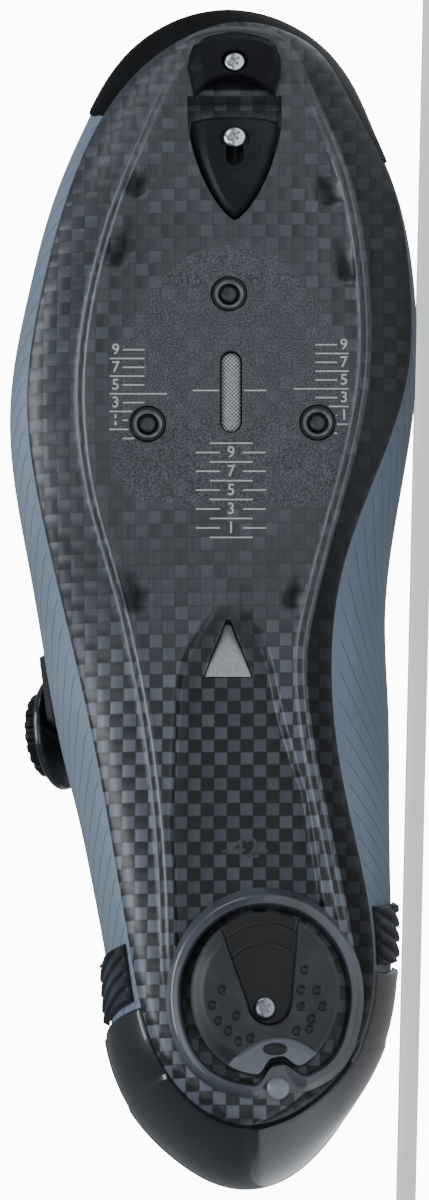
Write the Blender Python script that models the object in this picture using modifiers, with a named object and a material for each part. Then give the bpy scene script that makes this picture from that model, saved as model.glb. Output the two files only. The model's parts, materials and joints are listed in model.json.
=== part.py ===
"""Road cycling shoe for the right foot, size 42, lying on its inner side with its sole to the front.

The shoe is modelled in its own frame: X from heel to toe, Y from the ground up through the sole,
Z from the inner side to the outer side, in metres. An empty carries every piece and lays it down."""

import math

import bmesh
import bpy
import numpy as np
from mathutils import Matrix, Vector

# Driving sizes
LENGTH = 0.284
BALL_WIDTH = 0.092
INSTEP_HEIGHT = 0.098
GAP = 0.0003

# Upper, insole and tongue
UPPER_WALL = 0.0021
SOLE_SEAT = 0.0008
INSOLE_THICKNESS = 0.0030
INSOLE_CLEARANCE = 0.0008
TONGUE_THICKNESS = 0.0026
TONGUE_GAP = 0.0009
TONGUE_TOP_RIB = 13
TONGUE_ABOVE = 0.0210
TONGUE_NARROWS = 0.42
TONGUE_CLIMB = (-0.88, 0.47, 0.0)
TONGUE_FREE_ROWS = (0.35, 0.70, 1.0)

# Heel cup and clips: the places are shares of LENGTH, the heights shares of the upper's rise
CUP_THICKNESS = 0.0015
CUP_GAP = 0.0005
CUP_OUTER_END = 0.147
CUP_INNER_END = 0.190
CUP_LOW = 0.02
CUP_HIGH = 0.60
CUP_FRONT_HIGH = 0.42
CLIP_THICKNESS = 0.0024
CLIP_START = 0.006
CLIP_LENGTH = 0.048
CLIP_LOW = 0.04
CLIP_HIGH = 0.36

# Straps and dial: places as shares of LENGTH, ends as shares of the upper's rise
STRAP_THICKNESS = 0.0018
STRAP_GAP = 0.0007
INSTEP_STRAP_OUTER = (0.384, 0.442)
INSTEP_STRAP_INNER = (0.396, 0.462)
STRAP_OUTER_RISE = 0.36
STRAP_INNER_RISE = 0.62
TOE_STRAP_SHARES = (0.560, 0.618)
TOE_STRAP_RISE = 0.66
DIAL_SHARE = 0.432
DIAL_RISE = 0.50
DIAL_RADIUS = 0.0105
DIAL_HEIGHT = 0.0034
DIAL_EDGE = 0.0008
DIAL_BASE_RADIUS = 0.0140
DIAL_BASE_HEIGHT = 0.0022
DIAL_BASE_EDGE = 0.0006

# Sole: ribs, recess bank, cleat nuts and vents
RIB_HEIGHT = 0.0009
RIB_WIDTH = 0.0326 * BALL_WIDTH
WELL_BANK = 0.0239 * BALL_WIDTH
CUT_OUTSIDE = 0.0060
NUT_RADIUS = 0.0041
NUT_BORE = 0.0025
NUT_DEPTH = 0.0028
MESH_THICKNESS = 0.0008
MESH_SINK = 0.0014
BALL_VENT_LENGTH = 0.069 * LENGTH
BALL_VENT_WIDTH = 0.057 * BALL_WIDTH
ARCH_VENT_LENGTH = 0.0475 * LENGTH
ARCH_VENT_WIDTH = 0.128 * BALL_WIDTH
SCREW_RADIUS = 0.0027
SCREW_HEAD = 0.0016
SHANK_RADIUS = 0.0016

# Toe plate: TOE_AHEAD and TOE_BEHIND are shares of LENGTH that its slope is read between
TOE_AHEAD = 0.055
TOE_BEHIND = 0.080
TOE_POCKET_DEPTH = 0.0042
TOE_MOUTH = 0.0057
SLIDER_HEIGHT = 0.0044
SLIDER_WIDTH = 0.0208
SLIDER_LENGTH = 0.0268
SLIDER_TRAVEL = 0.0050
SLIDER_CLEARANCE = 0.0009
SLIDER_BOW = 1.7
SLIDER_FULLNESS = 0.72
SLIDER_POINTS = 23
SCREW_SLOT_PLACE = -0.0064
SLOT_WIDTH = 0.0042
TOE_PAD_HEIGHT = 0.0034
PAD_WIDTH = 0.0216
PAD_LENGTH = 0.0173
PAD_ARC = 0.0036
PAD_SINK = 0.0008
PAD_EDGE = 0.0006
PAD_SCREW_PLACE = 0.0079

# Heel pad
HEEL_RING_LENGTH = 0.162 * LENGTH
HEEL_RING_WIDTH = 0.467 * BALL_WIDTH
HEEL_RING_BAND = 0.0030
HEEL_RING_HEIGHT = 0.0022
HEEL_PAD_CLEARANCE = 0.0012
HEEL_POCKET_DEPTH = 0.0020
RING_ROOT = 0.0040
VALLEY_BACK = 0.0035
VALLEY_FRONT = 0.0064
VALLEY_TIP = 0.0034
VALLEY_DEPTH = 0.0034
VALLEY_SPREAD = 1.35
STEP_BACK = 0.0285
STEP_DEPTH = 0.0022
RIVET_SIDE = 0.0030
RIVET_PROUD = 0.0004

# One row for each rib of the upper, round the foot from the heel by the outer side. Lengths along
# the foot are shares of LENGTH, widths of BALL_WIDTH and heights of INSTEP_HEIGHT. A rib leaves the
# sole at (at, edge, side), swells outward, and ends on the collar or throat at (top_at, top_up, top_side).
RIB_COLUMNS = ("at", "side", "edge", "top_at", "top_side", "top_up", "swell", "belly", "shoulder", "drop")
RIBS = (
    ("heel end", 0.051, -0.026, 0.17, 0.024, -0.033, 0.80, 0.235, 0.20, 0.00, 0.22),
    ("heel corner, outer", 0.067, 0.108, 0.17, 0.032, 0.087, 0.79, 0.205, 0.20, 0.00, 0.22),
    ("heel curve, outer", 0.109, 0.210, 0.17, 0.070, 0.196, 0.74, 0.215, 0.20, 0.01, 0.20),
    ("heel side, outer", 0.193, 0.279, 0.18, 0.158, 0.277, 0.65, 0.142, 0.18, 0.03, 0.16),
    ("arch back, outer", 0.261, 0.315, 0.19, 0.239, 0.304, 0.65, 0.140, 0.18, 0.05, 0.18),
    ("collar rise, outer", 0.324, 0.349, 0.20, 0.310, 0.266, 0.78, 0.180, 0.22, 0.10, 0.20),
    ("waist, outer", 0.405, 0.400, 0.21, 0.366, 0.174, 0.96, 0.222, 0.24, 0.20, 0.10),
    ("ball back, outer", 0.528, 0.490, 0.15, 0.493, 0.152, 0.81, 0.207, 0.20, 0.22, 0.06),
    ("ball, outer", 0.651, 0.547, 0.09, 0.599, 0.136, 0.65, 0.209, 0.18, 0.23, 0.04),
    ("little toe", 0.750, 0.507, 0.10, 0.655, 0.112, 0.585, 0.199, 0.17, 0.24, 0.03),
    ("toe side, outer", 0.845, 0.429, 0.13, 0.680, 0.090, 0.56, 0.200, 0.17, 0.30, 0.01),
    ("toe curve, outer", 0.914, 0.333, 0.18, 0.695, 0.064, 0.545, 0.222, 0.18, 0.38, 0.00),
    ("toe corner, outer", 0.963, 0.201, 0.23, 0.703, 0.036, 0.54, 0.325, 0.20, 0.46, -0.01),
    ("toe tip", 0.990, 0.011, 0.26, 0.706, 0.002, 0.54, 0.315, 0.20, 0.52, -0.01),
    ("toe corner, inner", 0.966, -0.198, 0.23, 0.703, -0.032, 0.54, 0.195, 0.20, 0.46, -0.01),
    ("toe curve, inner", 0.914, -0.292, 0.18, 0.695, -0.060, 0.545, 0.155, 0.18, 0.38, 0.00),
    ("toe side, inner", 0.845, -0.389, 0.13, 0.680, -0.087, 0.56, 0.112, 0.17, 0.30, 0.01),
    ("big toe", 0.750, -0.439, 0.10, 0.655, -0.112, 0.585, 0.108, 0.17, 0.23, 0.03),
    ("ball, inner", 0.669, -0.430, 0.09, 0.604, -0.136, 0.65, 0.115, 0.18, 0.22, 0.04),
    ("ball back, inner", 0.589, -0.349, 0.12, 0.528, -0.152, 0.77, 0.191, 0.20, 0.18, 0.05),
    ("waist, inner", 0.514, -0.266, 0.18, 0.444, -0.174, 0.89, 0.267, 0.22, 0.16, 0.07),
    ("arch, inner", 0.423, -0.237, 0.22, 0.373, -0.190, 0.97, 0.326, 0.24, 0.14, 0.10),
    ("arch back, inner", 0.324, -0.272, 0.21, 0.310, -0.261, 0.82, 0.250, 0.22, 0.09, 0.20),
    ("heel side, inner", 0.214, -0.335, 0.19, 0.239, -0.310, 0.67, 0.141, 0.18, 0.04, 0.18),
    ("heel curve, inner", 0.120, -0.304, 0.17, 0.127, -0.283, 0.69, 0.125, 0.20, 0.02, 0.20),
    ("heel corner, inner", 0.067, -0.165, 0.17, 0.042, -0.163, 0.78, 0.150, 0.20, 0.00, 0.22),
)

# One row for each station of the sole. at is a share of LENGTH, bottom and lift of INSTEP_HEIGHT:
# the tread's height, and how much higher its outer edge is. rib_out and rib_in place the long rib
# as shares of the half width, rib is its share of RIB_HEIGHT. well_out, well_in and well are the
# arch recess: its two sides, in shares of BALL_WIDTH, and its depth, in shares of INSTEP_HEIGHT.
SOLE_COLUMNS = ("at", "bottom", "lift", "rib_out", "rib_in", "rib", "well_out", "well_in", "well")
SOLE = (
    ("heel end", 0.051, 0.105, 0.040, 0.60, 0.60, 0.0, 0.10, -0.16, 0.000),
    ("heel curve", 0.085, 0.092, 0.045, 0.66, 0.74, 0.0, 0.11, -0.17, 0.000),
    ("heel", 0.160, 0.088, 0.050, 0.70, 0.82, 0.2, 0.15, -0.21, 0.000),
    ("heel front", 0.235, 0.092, 0.055, 0.65, 0.76, 1.0, 0.17, -0.23, 0.022),
    ("arch back", 0.320, 0.118, 0.060, 0.62, 0.72, 1.0, 0.162, -0.160, 0.026),
    ("arch", 0.400, 0.138, 0.060, 0.63, 0.66, 1.0, 0.148, -0.085, 0.026),
    ("arch front", 0.450, 0.128, 0.058, 0.65, 0.66, 1.0, 0.112, -0.046, 0.024),
    ("waist", 0.484, 0.104, 0.056, 0.67, 0.72, 1.0, 0.045, 0.005, 0.006),
    ("ball back", 0.560, 0.040, 0.052, 0.73, 0.77, 1.0, 0.050, -0.010, 0.000),
    ("ball", 0.630, 0.000, 0.050, 0.745, 0.74, 1.0, 0.060, -0.020, 0.000),
    ("ball front", 0.740, 0.000, 0.050, 0.74, 0.71, 1.0, 0.060, -0.020, 0.000),
    ("toe base", 0.825, 0.028, 0.048, 0.69, 0.68, 0.8, 0.060, -0.020, 0.000),
    ("toe", 0.900, 0.085, 0.044, 0.62, 0.64, 0.2, 0.060, -0.020, 0.000),
    ("toe curve", 0.960, 0.142, 0.040, 0.60, 0.60, 0.0, 0.060, -0.020, 0.000),
    ("toe tip", 0.990, 0.180, 0.036, 0.60, 0.60, 0.0, 0.030, -0.010, 0.000),
)

# Places along the foot and across it, as shares of LENGTH and BALL_WIDTH
NUT_PLACES = {"front": (0.737, 0.028), "outer": (0.627, 0.236), "inner": (0.628, -0.198)}
BALL_VENT_PLACE = (0.654, 0.023)
ARCH_VENT_PLACE = (0.446, 0.030)
TOE_PLACE = (0.896, 0.013)
HEEL_PAD_PLACE = (0.156, -0.062)

# How finely the surfaces are divided
UPPER_ROUND = 60
UPPER_RISE = 9
SOLE_STATIONS = 34
INSOLE_STATIONS = 24
INSOLE_COLUMNS = 5
PATCH_RISE = 6
CLIP_ROUND = 5
ROUND_SIDES = 20
DIAL_SIDES = 28
RING_SIDES = 36
TINY = 1e-5
SHARP_ANGLE = math.radians(35)
TONGUE_TUCK = 1 - 1 / (UPPER_RISE - 1)


def drawn(rows, columns):
    """The table's rows as one array of numbers for each named column."""
    return {name: np.array([row[k + 1] for row in rows]) for k, name in enumerate(columns)}


def second_slopes(knots, values, closed):
    """Second derivatives at the knots of the smooth cubic through the values."""
    count = len(values)
    span = len(knots) - 1
    system = np.eye(count)
    right = np.zeros(count)
    for k in range(count) if closed else range(1, count - 1):
        before = knots[k] - knots[k - 1] if k else knots[span] - knots[span - 1]
        after = knots[k + 1] - knots[k]
        last, following = (k - 1) % count, (k + 1) % count
        system[k, k] = (before + after) / 3
        system[k, last] = before / 6
        system[k, following] = after / 6
        right[k] = (values[following] - values[k]) / after - (values[k] - values[last]) / before
    return np.linalg.solve(system, right)


def smooth(knots, values, closed=False):
    """A function that gives the smooth cubic through the values at any place."""
    bends = second_slopes(knots, values, closed)
    if closed:
        values = np.append(values, values[0])
        bends = np.append(bends, bends[0])

    def at(place):
        place = np.asarray(place, dtype=float)
        if closed:
            place = place % 1.0
        k = np.clip(np.searchsorted(knots, place, side="right") - 1, 0, len(knots) - 2)
        width = knots[k + 1] - knots[k]
        high = (place - knots[k]) / width
        low = 1 - high
        bow = ((low**3 - low) * bends[k] + (high**3 - high) * bends[k + 1]) * width**2 / 6
        return low * values[k] + high * values[k + 1] + bow

    return at


RIB_TABLE = drawn(RIBS, RIB_COLUMNS)
ROUND_STEPS = np.hypot(
    np.diff(np.append(RIB_TABLE["at"], RIB_TABLE["at"][0])) * LENGTH,
    np.diff(np.append(RIB_TABLE["side"], RIB_TABLE["side"][0])) * BALL_WIDTH,
)
ROUND_KNOTS = np.concatenate([[0.0], np.cumsum(ROUND_STEPS)]) / ROUND_STEPS.sum()
RIB = {name: smooth(ROUND_KNOTS, values, closed=True) for name, values in RIB_TABLE.items()}
TOE_ROUND = ROUND_KNOTS[[row[0] for row in RIBS].index("toe tip")]
SOLE_TABLE = drawn(SOLE, SOLE_COLUMNS)
SOLE_AT = {name: smooth(SOLE_TABLE["at"], values) for name, values in SOLE_TABLE.items()}

# The outline read densely once, so that a half width can be found from a place along the foot
DENSE_OUT = np.linspace(0.0, TOE_ROUND, 400)
DENSE_IN = np.linspace(1.0, TOE_ROUND, 400)


def half_width(share, sign):
    """Signed width of the sole's outline at a share of LENGTH, on the outer (+1) or inner (-1) side."""
    dense = DENSE_OUT if sign > 0 else DENSE_IN
    return np.interp(share, RIB["at"](dense), RIB["side"](dense)) * BALL_WIDTH


def edge_height(share):
    """Height of the sole's top edge, where the upper starts."""
    outer = np.interp(share, RIB["at"](DENSE_OUT), RIB["edge"](DENSE_OUT))
    inner = np.interp(share, RIB["at"](DENSE_IN), RIB["edge"](DENSE_IN))
    return (outer + inner) / 2 * INSTEP_HEIGHT


def outline_normal(around):
    """Unit vector in the ground plane that points out of the sole's outline."""
    step = 1e-4
    along = (RIB["at"](around + step) - RIB["at"](around - step)) * LENGTH
    across = (RIB["side"](around + step) - RIB["side"](around - step)) * BALL_WIDTH
    size = np.hypot(along, across)
    return -across / size, along / size


def rib_point(around, rise):
    """Points on the upper's outer face: around is 0 to 1 from the heel, rise 0 at the sole, 1 at the top."""
    around, rise = np.broadcast_arrays(np.asarray(around, float), np.asarray(rise, float))
    out_x, out_z = outline_normal(around)
    share = RIB["at"](around)
    foot = np.stack([
        share * LENGTH - out_x * SOLE_SEAT,
        edge_height(share) + GAP,
        RIB["side"](around) * BALL_WIDTH - out_z * SOLE_SEAT,
    ], axis=-1)
    top = np.stack([
        RIB["top_at"](around) * LENGTH,
        RIB["top_up"](around) * INSTEP_HEIGHT,
        RIB["top_side"](around) * BALL_WIDTH,
    ], axis=-1)
    zero = np.zeros_like(out_x)
    outward = np.stack([out_x, zero, out_z], axis=-1)
    upward = np.stack([zero, zero + INSTEP_HEIGHT, zero], axis=-1)
    low = foot + outward * (RIB["swell"](around) * BALL_WIDTH)[..., None]
    low = low + upward * RIB["belly"](around)[..., None]
    high = top + outward * (RIB["shoulder"](around) * BALL_WIDTH)[..., None]
    high = high - upward * RIB["drop"](around)[..., None]
    t = rise[..., None]
    s = 1 - t
    return s**3 * foot + 3 * s**2 * t * low + 3 * s * t**2 * high + t**3 * top


def upper_point(around, rise, out=0.0):
    """Points of the upper's function moved out along its normal."""
    around, rise = np.broadcast_arrays(np.asarray(around, float), np.asarray(rise, float))
    step = 1e-4
    along = rib_point(around + step, rise) - rib_point(around - step, rise)
    upward = rib_point(around, rise + step) - rib_point(around, rise - step)
    normal = np.cross(along, upward)
    normal /= np.linalg.norm(normal, axis=-1, keepdims=True)
    return rib_point(around, rise) + normal * out


def around_at(share, sign):
    """The place round the foot where the outline passes a share of LENGTH, on one side."""
    dense = DENSE_OUT if sign > 0 else DENSE_IN
    return float(np.interp(share, RIB["at"](dense), dense))


def top_around_at(share, sign):
    """The place round the foot whose rib ends on the throat at a share of LENGTH, on one side."""
    dense = DENSE_OUT if sign > 0 else DENSE_IN
    dense = dense[100:]
    return float(np.interp(share, RIB["top_at"](dense), dense))


def sole_bottom(share):
    """Height of the tread's middle field, flat on the ground under the ball."""
    return np.maximum(SOLE_AT["bottom"](share) * INSTEP_HEIGHT, 0.0)


def material(name, color, roughness, metallic=0.0):
    """A plain material with the piece's colour, as linear red, green and blue."""
    made = bpy.data.materials.new(name)
    made.use_nodes = True
    shader = made.node_tree.nodes["Principled BSDF"]
    shader.inputs["Base Color"].default_value = (*color, 1.0)
    shader.inputs["Roughness"].default_value = roughness
    shader.inputs["Metallic"].default_value = metallic
    return made


def collection(name):
    made = bpy.data.collections.new(name)
    bpy.context.scene.collection.children.link(made)
    return made


def mesh_object(name, build, home, look=None, parent=None):
    """A mesh object from a bmesh, in a collection, with its normals out and its own material."""
    bmesh.ops.recalc_face_normals(build, faces=build.faces)
    mesh = bpy.data.meshes.new(name)
    build.to_mesh(mesh)
    build.free()
    mesh.shade_smooth()
    mesh.set_sharp_from_angle(angle=SHARP_ANGLE)
    made = bpy.data.objects.new(name, mesh)
    home.objects.link(made)
    if look:
        mesh.materials.append(look)
    made.parent = parent
    return made


def skin(outer, inner, closed_round):
    """A closed bmesh between two grids of points: rows round the foot, columns up or across."""
    build = bmesh.new()
    rows, columns = outer.shape[:2]
    faces = [[[build.verts.new(p) for p in row] for row in grid] for grid in (outer, inner)]
    out, into = faces
    for r in range(rows if closed_round else rows - 1):
        n = (r + 1) % rows
        for c in range(columns - 1):
            build.faces.new((out[r][c], out[n][c], out[n][c + 1], out[r][c + 1]))
            build.faces.new((into[r][c], into[r][c + 1], into[n][c + 1], into[n][c]))
        build.faces.new((out[r][0], into[r][0], into[n][0], out[n][0]))
        build.faces.new((out[r][-1], out[n][-1], into[n][-1], into[r][-1]))
    if not closed_round:
        for c in range(columns - 1):
            build.faces.new((out[0][c], out[0][c + 1], into[0][c + 1], into[0][c]))
            build.faces.new((out[-1][c], into[-1][c], into[-1][c + 1], out[-1][c + 1]))
    bmesh.ops.remove_doubles(build, verts=build.verts, dist=TINY)
    return build


def prism(outline, low, high):
    """A closed bmesh from an outline in X and Z, extruded between two heights in Y."""
    build = bmesh.new()
    face = build.faces.new([build.verts.new((x, low, z)) for x, z in outline])
    grown = bmesh.ops.extrude_face_region(build, geom=[face])["geom"]
    moved = [item for item in grown if isinstance(item, bmesh.types.BMVert)]
    bmesh.ops.translate(build, verts=moved, vec=(0.0, high - low, 0.0))
    return build


def oval(center, length, width, count):
    """Points of an oval in X and Z."""
    turns = [2 * math.pi * k / count for k in range(count)]
    return [
        (center[0] + length / 2 * math.cos(a), center[1] + width / 2 * math.sin(a)) for a in turns
    ]


def stadium(center, length, width, count):
    """Points of a long slot's outline in X and Z, with straight sides and round ends."""
    straight = (length - width) / 2
    turns = [2 * math.pi * (k + 0.5) / count for k in range(count)]
    return [
        (center[0] + math.copysign(straight, math.cos(a)) + width / 2 * math.cos(a),
         center[1] + width / 2 * math.sin(a)) for a in turns
    ]


def cut(target, cutter, operation="DIFFERENCE"):
    modifier = target.modifiers.new(f"{operation.lower()} {cutter.name}", "BOOLEAN")
    modifier.object = cutter
    modifier.operation = operation
    modifier.solver = "EXACT"
    cutter.hide_render = True
    cutter.display_type = "WIRE"


def rounded(target, width, segments=2):
    modifier = target.modifiers.new("rounded edges", "BEVEL")
    modifier.width = width
    modifier.segments = segments
    modifier.limit_method = "ANGLE"
    modifier.angle_limit = math.radians(40)


def outline_side(inset, sign):
    """The sole's outline on one side, moved in by an inset: places along X and across Z."""
    around = DENSE_OUT if sign > 0 else DENSE_IN
    out_x, out_z = outline_normal(around)
    along = RIB["at"](around) * LENGTH - out_x * inset
    across = RIB["side"](around) * BALL_WIDTH - out_z * inset
    order = np.argsort(along)
    return along[order], across[order]


def slab(inset, low, high, stations, columns):
    """A closed plate within the outline, between two heights that follow the place along the foot."""
    outer_x, outer_z = outline_side(inset, +1)
    inner_x, inner_z = outline_side(inset, -1)
    start = max(outer_x[0], inner_x[0])
    end = min(outer_x[-1], inner_x[-1])
    turn = np.linspace(0.0, math.pi, stations)
    along = start + (end - start) * (1 - np.cos(turn)) / 2
    outer = np.interp(along, outer_x, outer_z)
    inner = np.interp(along, inner_x, inner_z)
    for k in (0, -1):
        outer[k] = inner[k] = (outer[k] + inner[k]) / 2
    blend = np.linspace(0.0, 1.0, columns)
    across = outer[:, None] * (1 - blend) + inner[:, None] * blend
    level = np.broadcast_to(along[:, None], across.shape)
    under = np.stack([level, low(level / LENGTH), across], axis=-1)
    over = np.stack([level, high(level / LENGTH), across], axis=-1)
    return skin(under, over, closed_round=False)


def tread_section(share):
    """Points across the tread at one station, from the outer edge to the inner edge, as (Y, Z)."""
    row = {name: float(at(share)) for name, at in SOLE_AT.items()}
    outer, inner = half_width(share, +1), half_width(share, -1)
    span = outer - inner
    middle = min(max(0.0, inner + 0.3 * span), inner + 0.7 * span)
    rib_out = middle + row["rib_out"] * (outer - middle)
    rib_in = middle + row["rib_in"] * (inner - middle)
    bottom = float(sole_bottom(share))
    lift = row["lift"] * INSTEP_HEIGHT
    crest = bottom - max(row["rib"], 0.0) * RIB_HEIGHT
    floor = bottom + max(row["well"], 0.0) * INSTEP_HEIGHT
    half = RIB_WIDTH / 2 * min(1.0, span / (0.35 * BALL_WIDTH))
    well_out = min(row["well_out"] * BALL_WIDTH, middle + 0.8 * (rib_out - middle))
    well_in = max(row["well_in"] * BALL_WIDTH, middle + 0.8 * (rib_in - middle))
    bank = min(WELL_BANK, 0.4 * (rib_out - well_out), 0.4 * (well_in - rib_in))
    points = [
        (bottom + lift, outer),
        (bottom + 0.45 * lift, outer - 0.35 * (outer - rib_out)),
        (bottom + 0.10 * lift, rib_out + half),
        (crest, rib_out + half / 3),
        (crest, rib_out - half / 3),
        (bottom, rib_out - half),
        (bottom, well_out + bank),
        (floor, well_out),
        (floor, well_in),
        (bottom, well_in - bank),
        (bottom, rib_in + half),
        (crest, rib_in + half / 3),
        (crest, rib_in - half / 3),
        (bottom + 0.10 * lift, rib_in - half),
        (bottom + 0.45 * lift, inner - 0.35 * (inner - rib_in)),
        (bottom + lift, inner),
    ]
    taper = min(1.0, span / (0.30 * BALL_WIDTH)) ** 0.5
    edge = bottom + lift
    return [(edge + (y - edge) * taper, z) for y, z in points]


def sole_shell():
    """The carbon plate: tread below, flat seat for the upper above, joined by its side wall."""
    start, end = RIB_TABLE["at"][0], RIB["at"](TOE_ROUND)
    turn = np.linspace(0.0, math.pi, SOLE_STATIONS)
    shares = start + (end - start) * (1 - np.cos(turn)) / 2
    under = []
    over = []
    for share in shares:
        section = tread_section(share)
        if share in (shares[0], shares[-1]):
            tip = (section[0][1] + section[-1][1]) / 2
            section = [(section[0][0], tip)] * len(section)
        seat = float(edge_height(share))
        under.append([(share * LENGTH, y, z) for y, z in section])
        over.append([(share * LENGTH, seat, z) for _, z in section])
    return skin(np.array(under), np.array(over), closed_round=False)


def thickened(grid, thickness):
    """The grid moved along its own normals."""
    down = np.gradient(grid, axis=0)
    across = np.gradient(grid, axis=1)
    normal = np.cross(down, across)
    normal /= np.linalg.norm(normal, axis=-1, keepdims=True)
    return grid + normal * thickness


def crossing(outer_round, inner_round, start_out, start_in, out, steps=3, bridge=6):
    """Points from rise start_out on an outer rib, over the throat, to rise start_in on an inner rib."""
    rises_out = np.linspace(start_out, 1.0, steps)
    rises_in = np.linspace(start_in, 1.0, steps)
    first = upper_point(outer_round, rises_out, out)
    last = upper_point(inner_round, rises_in, out)[::-1]
    leave = first[-1] - first[-2]
    enter = last[1] - last[0]
    reach = np.linalg.norm(last[0] - first[-1])
    leave = leave / np.linalg.norm(leave) * reach
    enter = enter / np.linalg.norm(enter) * reach
    t = np.linspace(0.0, 1.0, bridge + 2)[1:-1, None]
    between = (
        (2 * t**3 - 3 * t**2 + 1) * first[-1]
        + (t**3 - 2 * t**2 + t) * leave
        + (3 * t**2 - 2 * t**3) * last[0]
        + (t**3 - t**2) * enter
    )
    return np.concatenate([first, between, last])


def band(outer_shares, inner_shares, start_out, start_in, out, thickness, steps=5, rows=4):
    """A strap over the throat, between ribs that end on it at the given shares of LENGTH."""
    pairs = zip(np.linspace(*outer_shares, rows), np.linspace(*inner_shares, rows))
    grid = np.array([
        crossing(top_around_at(o, +1), top_around_at(i, -1), start_out, start_in, out, steps)
        for o, i in pairs
    ])
    return skin(grid, thickened(grid, thickness), closed_round=False)


def patch(arounds, rises, out, thickness):
    """A plate on the upper: rises gives, for each place round the foot, its low and high edge."""
    spans = [(a, np.linspace(low, high, PATCH_RISE)) for a, (low, high) in zip(arounds, rises)]
    near = np.array([upper_point(a, span, out) for a, span in spans])
    far = np.array([upper_point(a, span, out + thickness) for a, span in spans])
    return skin(far, near, closed_round=False)


for old in list(bpy.data.objects):
    bpy.data.objects.remove(old, do_unlink=True)

CARBON = material("carbon", (0.030, 0.032, 0.040), 0.28)
SKIN = material("upper microfibre", (0.22, 0.28, 0.33), 0.55)
LINING = material("lining", (0.05, 0.05, 0.055), 0.85)
GLOSS = material("black gloss plastic", (0.008, 0.008, 0.009), 0.12)
MATTE = material("black rubber", (0.018, 0.018, 0.020), 0.55)
GREY = material("grey plastic", (0.10, 0.11, 0.12), 0.45)
STEEL = material("bright steel", (0.60, 0.62, 0.64), 0.25, 1.0)
MESH = material("vent mesh", (0.62, 0.62, 0.60), 0.6)

PARTS = collection("cycling shoe")
CUTTERS = collection("cutters")
SHOE = bpy.data.objects.new("shoe frame", None)
PARTS.objects.link(SHOE)


def piece(name, build, look, parent=SHOE):
    return mesh_object(name, build, PARTS, look, parent)


def cutter(name, build, parent=SHOE):
    return mesh_object(name, build, CUTTERS, None, parent)


def cylinder(radius, low, high, center=(0.0, 0.0), sides=ROUND_SIDES):
    """A closed cylinder along Y, between two heights."""
    build = bmesh.new()
    place = Matrix.Translation((center[0], (low + high) / 2, center[1]))
    upright = place @ Matrix.Rotation(math.pi / 2, 4, "X")
    bmesh.ops.create_cone(
        build, cap_ends=True, segments=sides, radius1=radius, radius2=radius, depth=high - low,
        matrix=upright,
    )
    return build


# Sole
sole = piece("sole", sole_shell(), CARBON)

# Upper
rounds = np.linspace(0.0, 1.0, UPPER_ROUND, endpoint=False)[:, None]
rises = np.linspace(0.0, 1.0, UPPER_RISE)[None, :]
upper_outer = upper_point(rounds, rises)
upper_inner = upper_point(rounds, rises, -UPPER_WALL)
piece("upper", skin(upper_outer, upper_inner, closed_round=True), SKIN)

# Insole
piece("insole", slab(
    SOLE_SEAT + UPPER_WALL + INSOLE_CLEARANCE,
    lambda share: edge_height(share) + GAP,
    lambda share: edge_height(share) + GAP + INSOLE_THICKNESS,
    INSOLE_STATIONS, INSOLE_COLUMNS,
), LINING)

# Tongue: under the throat's edges, on the upper's own ribs, and free above its top corners
tongue_rows = [
    crossing(
        k / UPPER_ROUND, 1 - k / UPPER_ROUND, TONGUE_TUCK, TONGUE_TUCK,
        -(UPPER_WALL + TONGUE_GAP), steps=2,
    )
    for k in range(UPPER_ROUND // 2 - 1, TONGUE_TOP_RIB - 1, -1)
]
top_row = tongue_rows[-1]
for part in TONGUE_FREE_ROWS:
    free = top_row * (1.0, 1.0, 1 - TONGUE_NARROWS * math.sqrt(part))
    tongue_rows.append(free + np.array(TONGUE_CLIMB) * TONGUE_ABOVE * part)
tongue_outer = np.array(tongue_rows)
piece("tongue", skin(
    tongue_outer, thickened(tongue_outer, TONGUE_THICKNESS), closed_round=False,
), LINING)


# Heel cup and the two ribbed retention pieces ahead of it
cup_out = round(around_at(CUP_OUTER_END, +1) * UPPER_ROUND)
cup_in = round((around_at(CUP_INNER_END, -1) - 1) * UPPER_ROUND)
cup_around = np.arange(cup_in, cup_out + 1) / UPPER_ROUND
cup_middle = (cup_around[0] + cup_around[-1]) / 2
cup_half = (cup_around[-1] - cup_around[0]) / 2
cup_rises = [
    (CUP_LOW, CUP_HIGH - (CUP_HIGH - CUP_FRONT_HIGH) * abs((a - cup_middle) / cup_half) ** 3)
    for a in cup_around
]
piece("heel_cup", patch(cup_around, cup_rises, CUP_GAP, CUP_THICKNESS), GLOSS)

for name, sign, cup_end in (("heel_clip_outer", +1, cup_out), ("heel_clip_inner", -1, cup_in)):
    share = float(RIB["at"](cup_end / UPPER_ROUND))
    shares = share + CLIP_START + np.linspace(0.0, CLIP_LENGTH, CLIP_ROUND)
    clip_around = [around_at(s, sign) - (sign < 0) for s in shares]
    clip_rises = [(CLIP_LOW, CLIP_HIGH)] * len(clip_around)
    piece(name, patch(sorted(clip_around), clip_rises, GAP, CLIP_THICKNESS), MATTE)

# Straps over the throat
piece("instep_strap", band(
    INSTEP_STRAP_OUTER, INSTEP_STRAP_INNER, STRAP_OUTER_RISE, STRAP_INNER_RISE,
    STRAP_GAP, STRAP_THICKNESS,
), MATTE)
piece("toe_strap", band(
    TOE_STRAP_SHARES, TOE_STRAP_SHARES, TOE_STRAP_RISE, TOE_STRAP_RISE,
    STRAP_GAP, STRAP_THICKNESS,
), MATTE)

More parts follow.
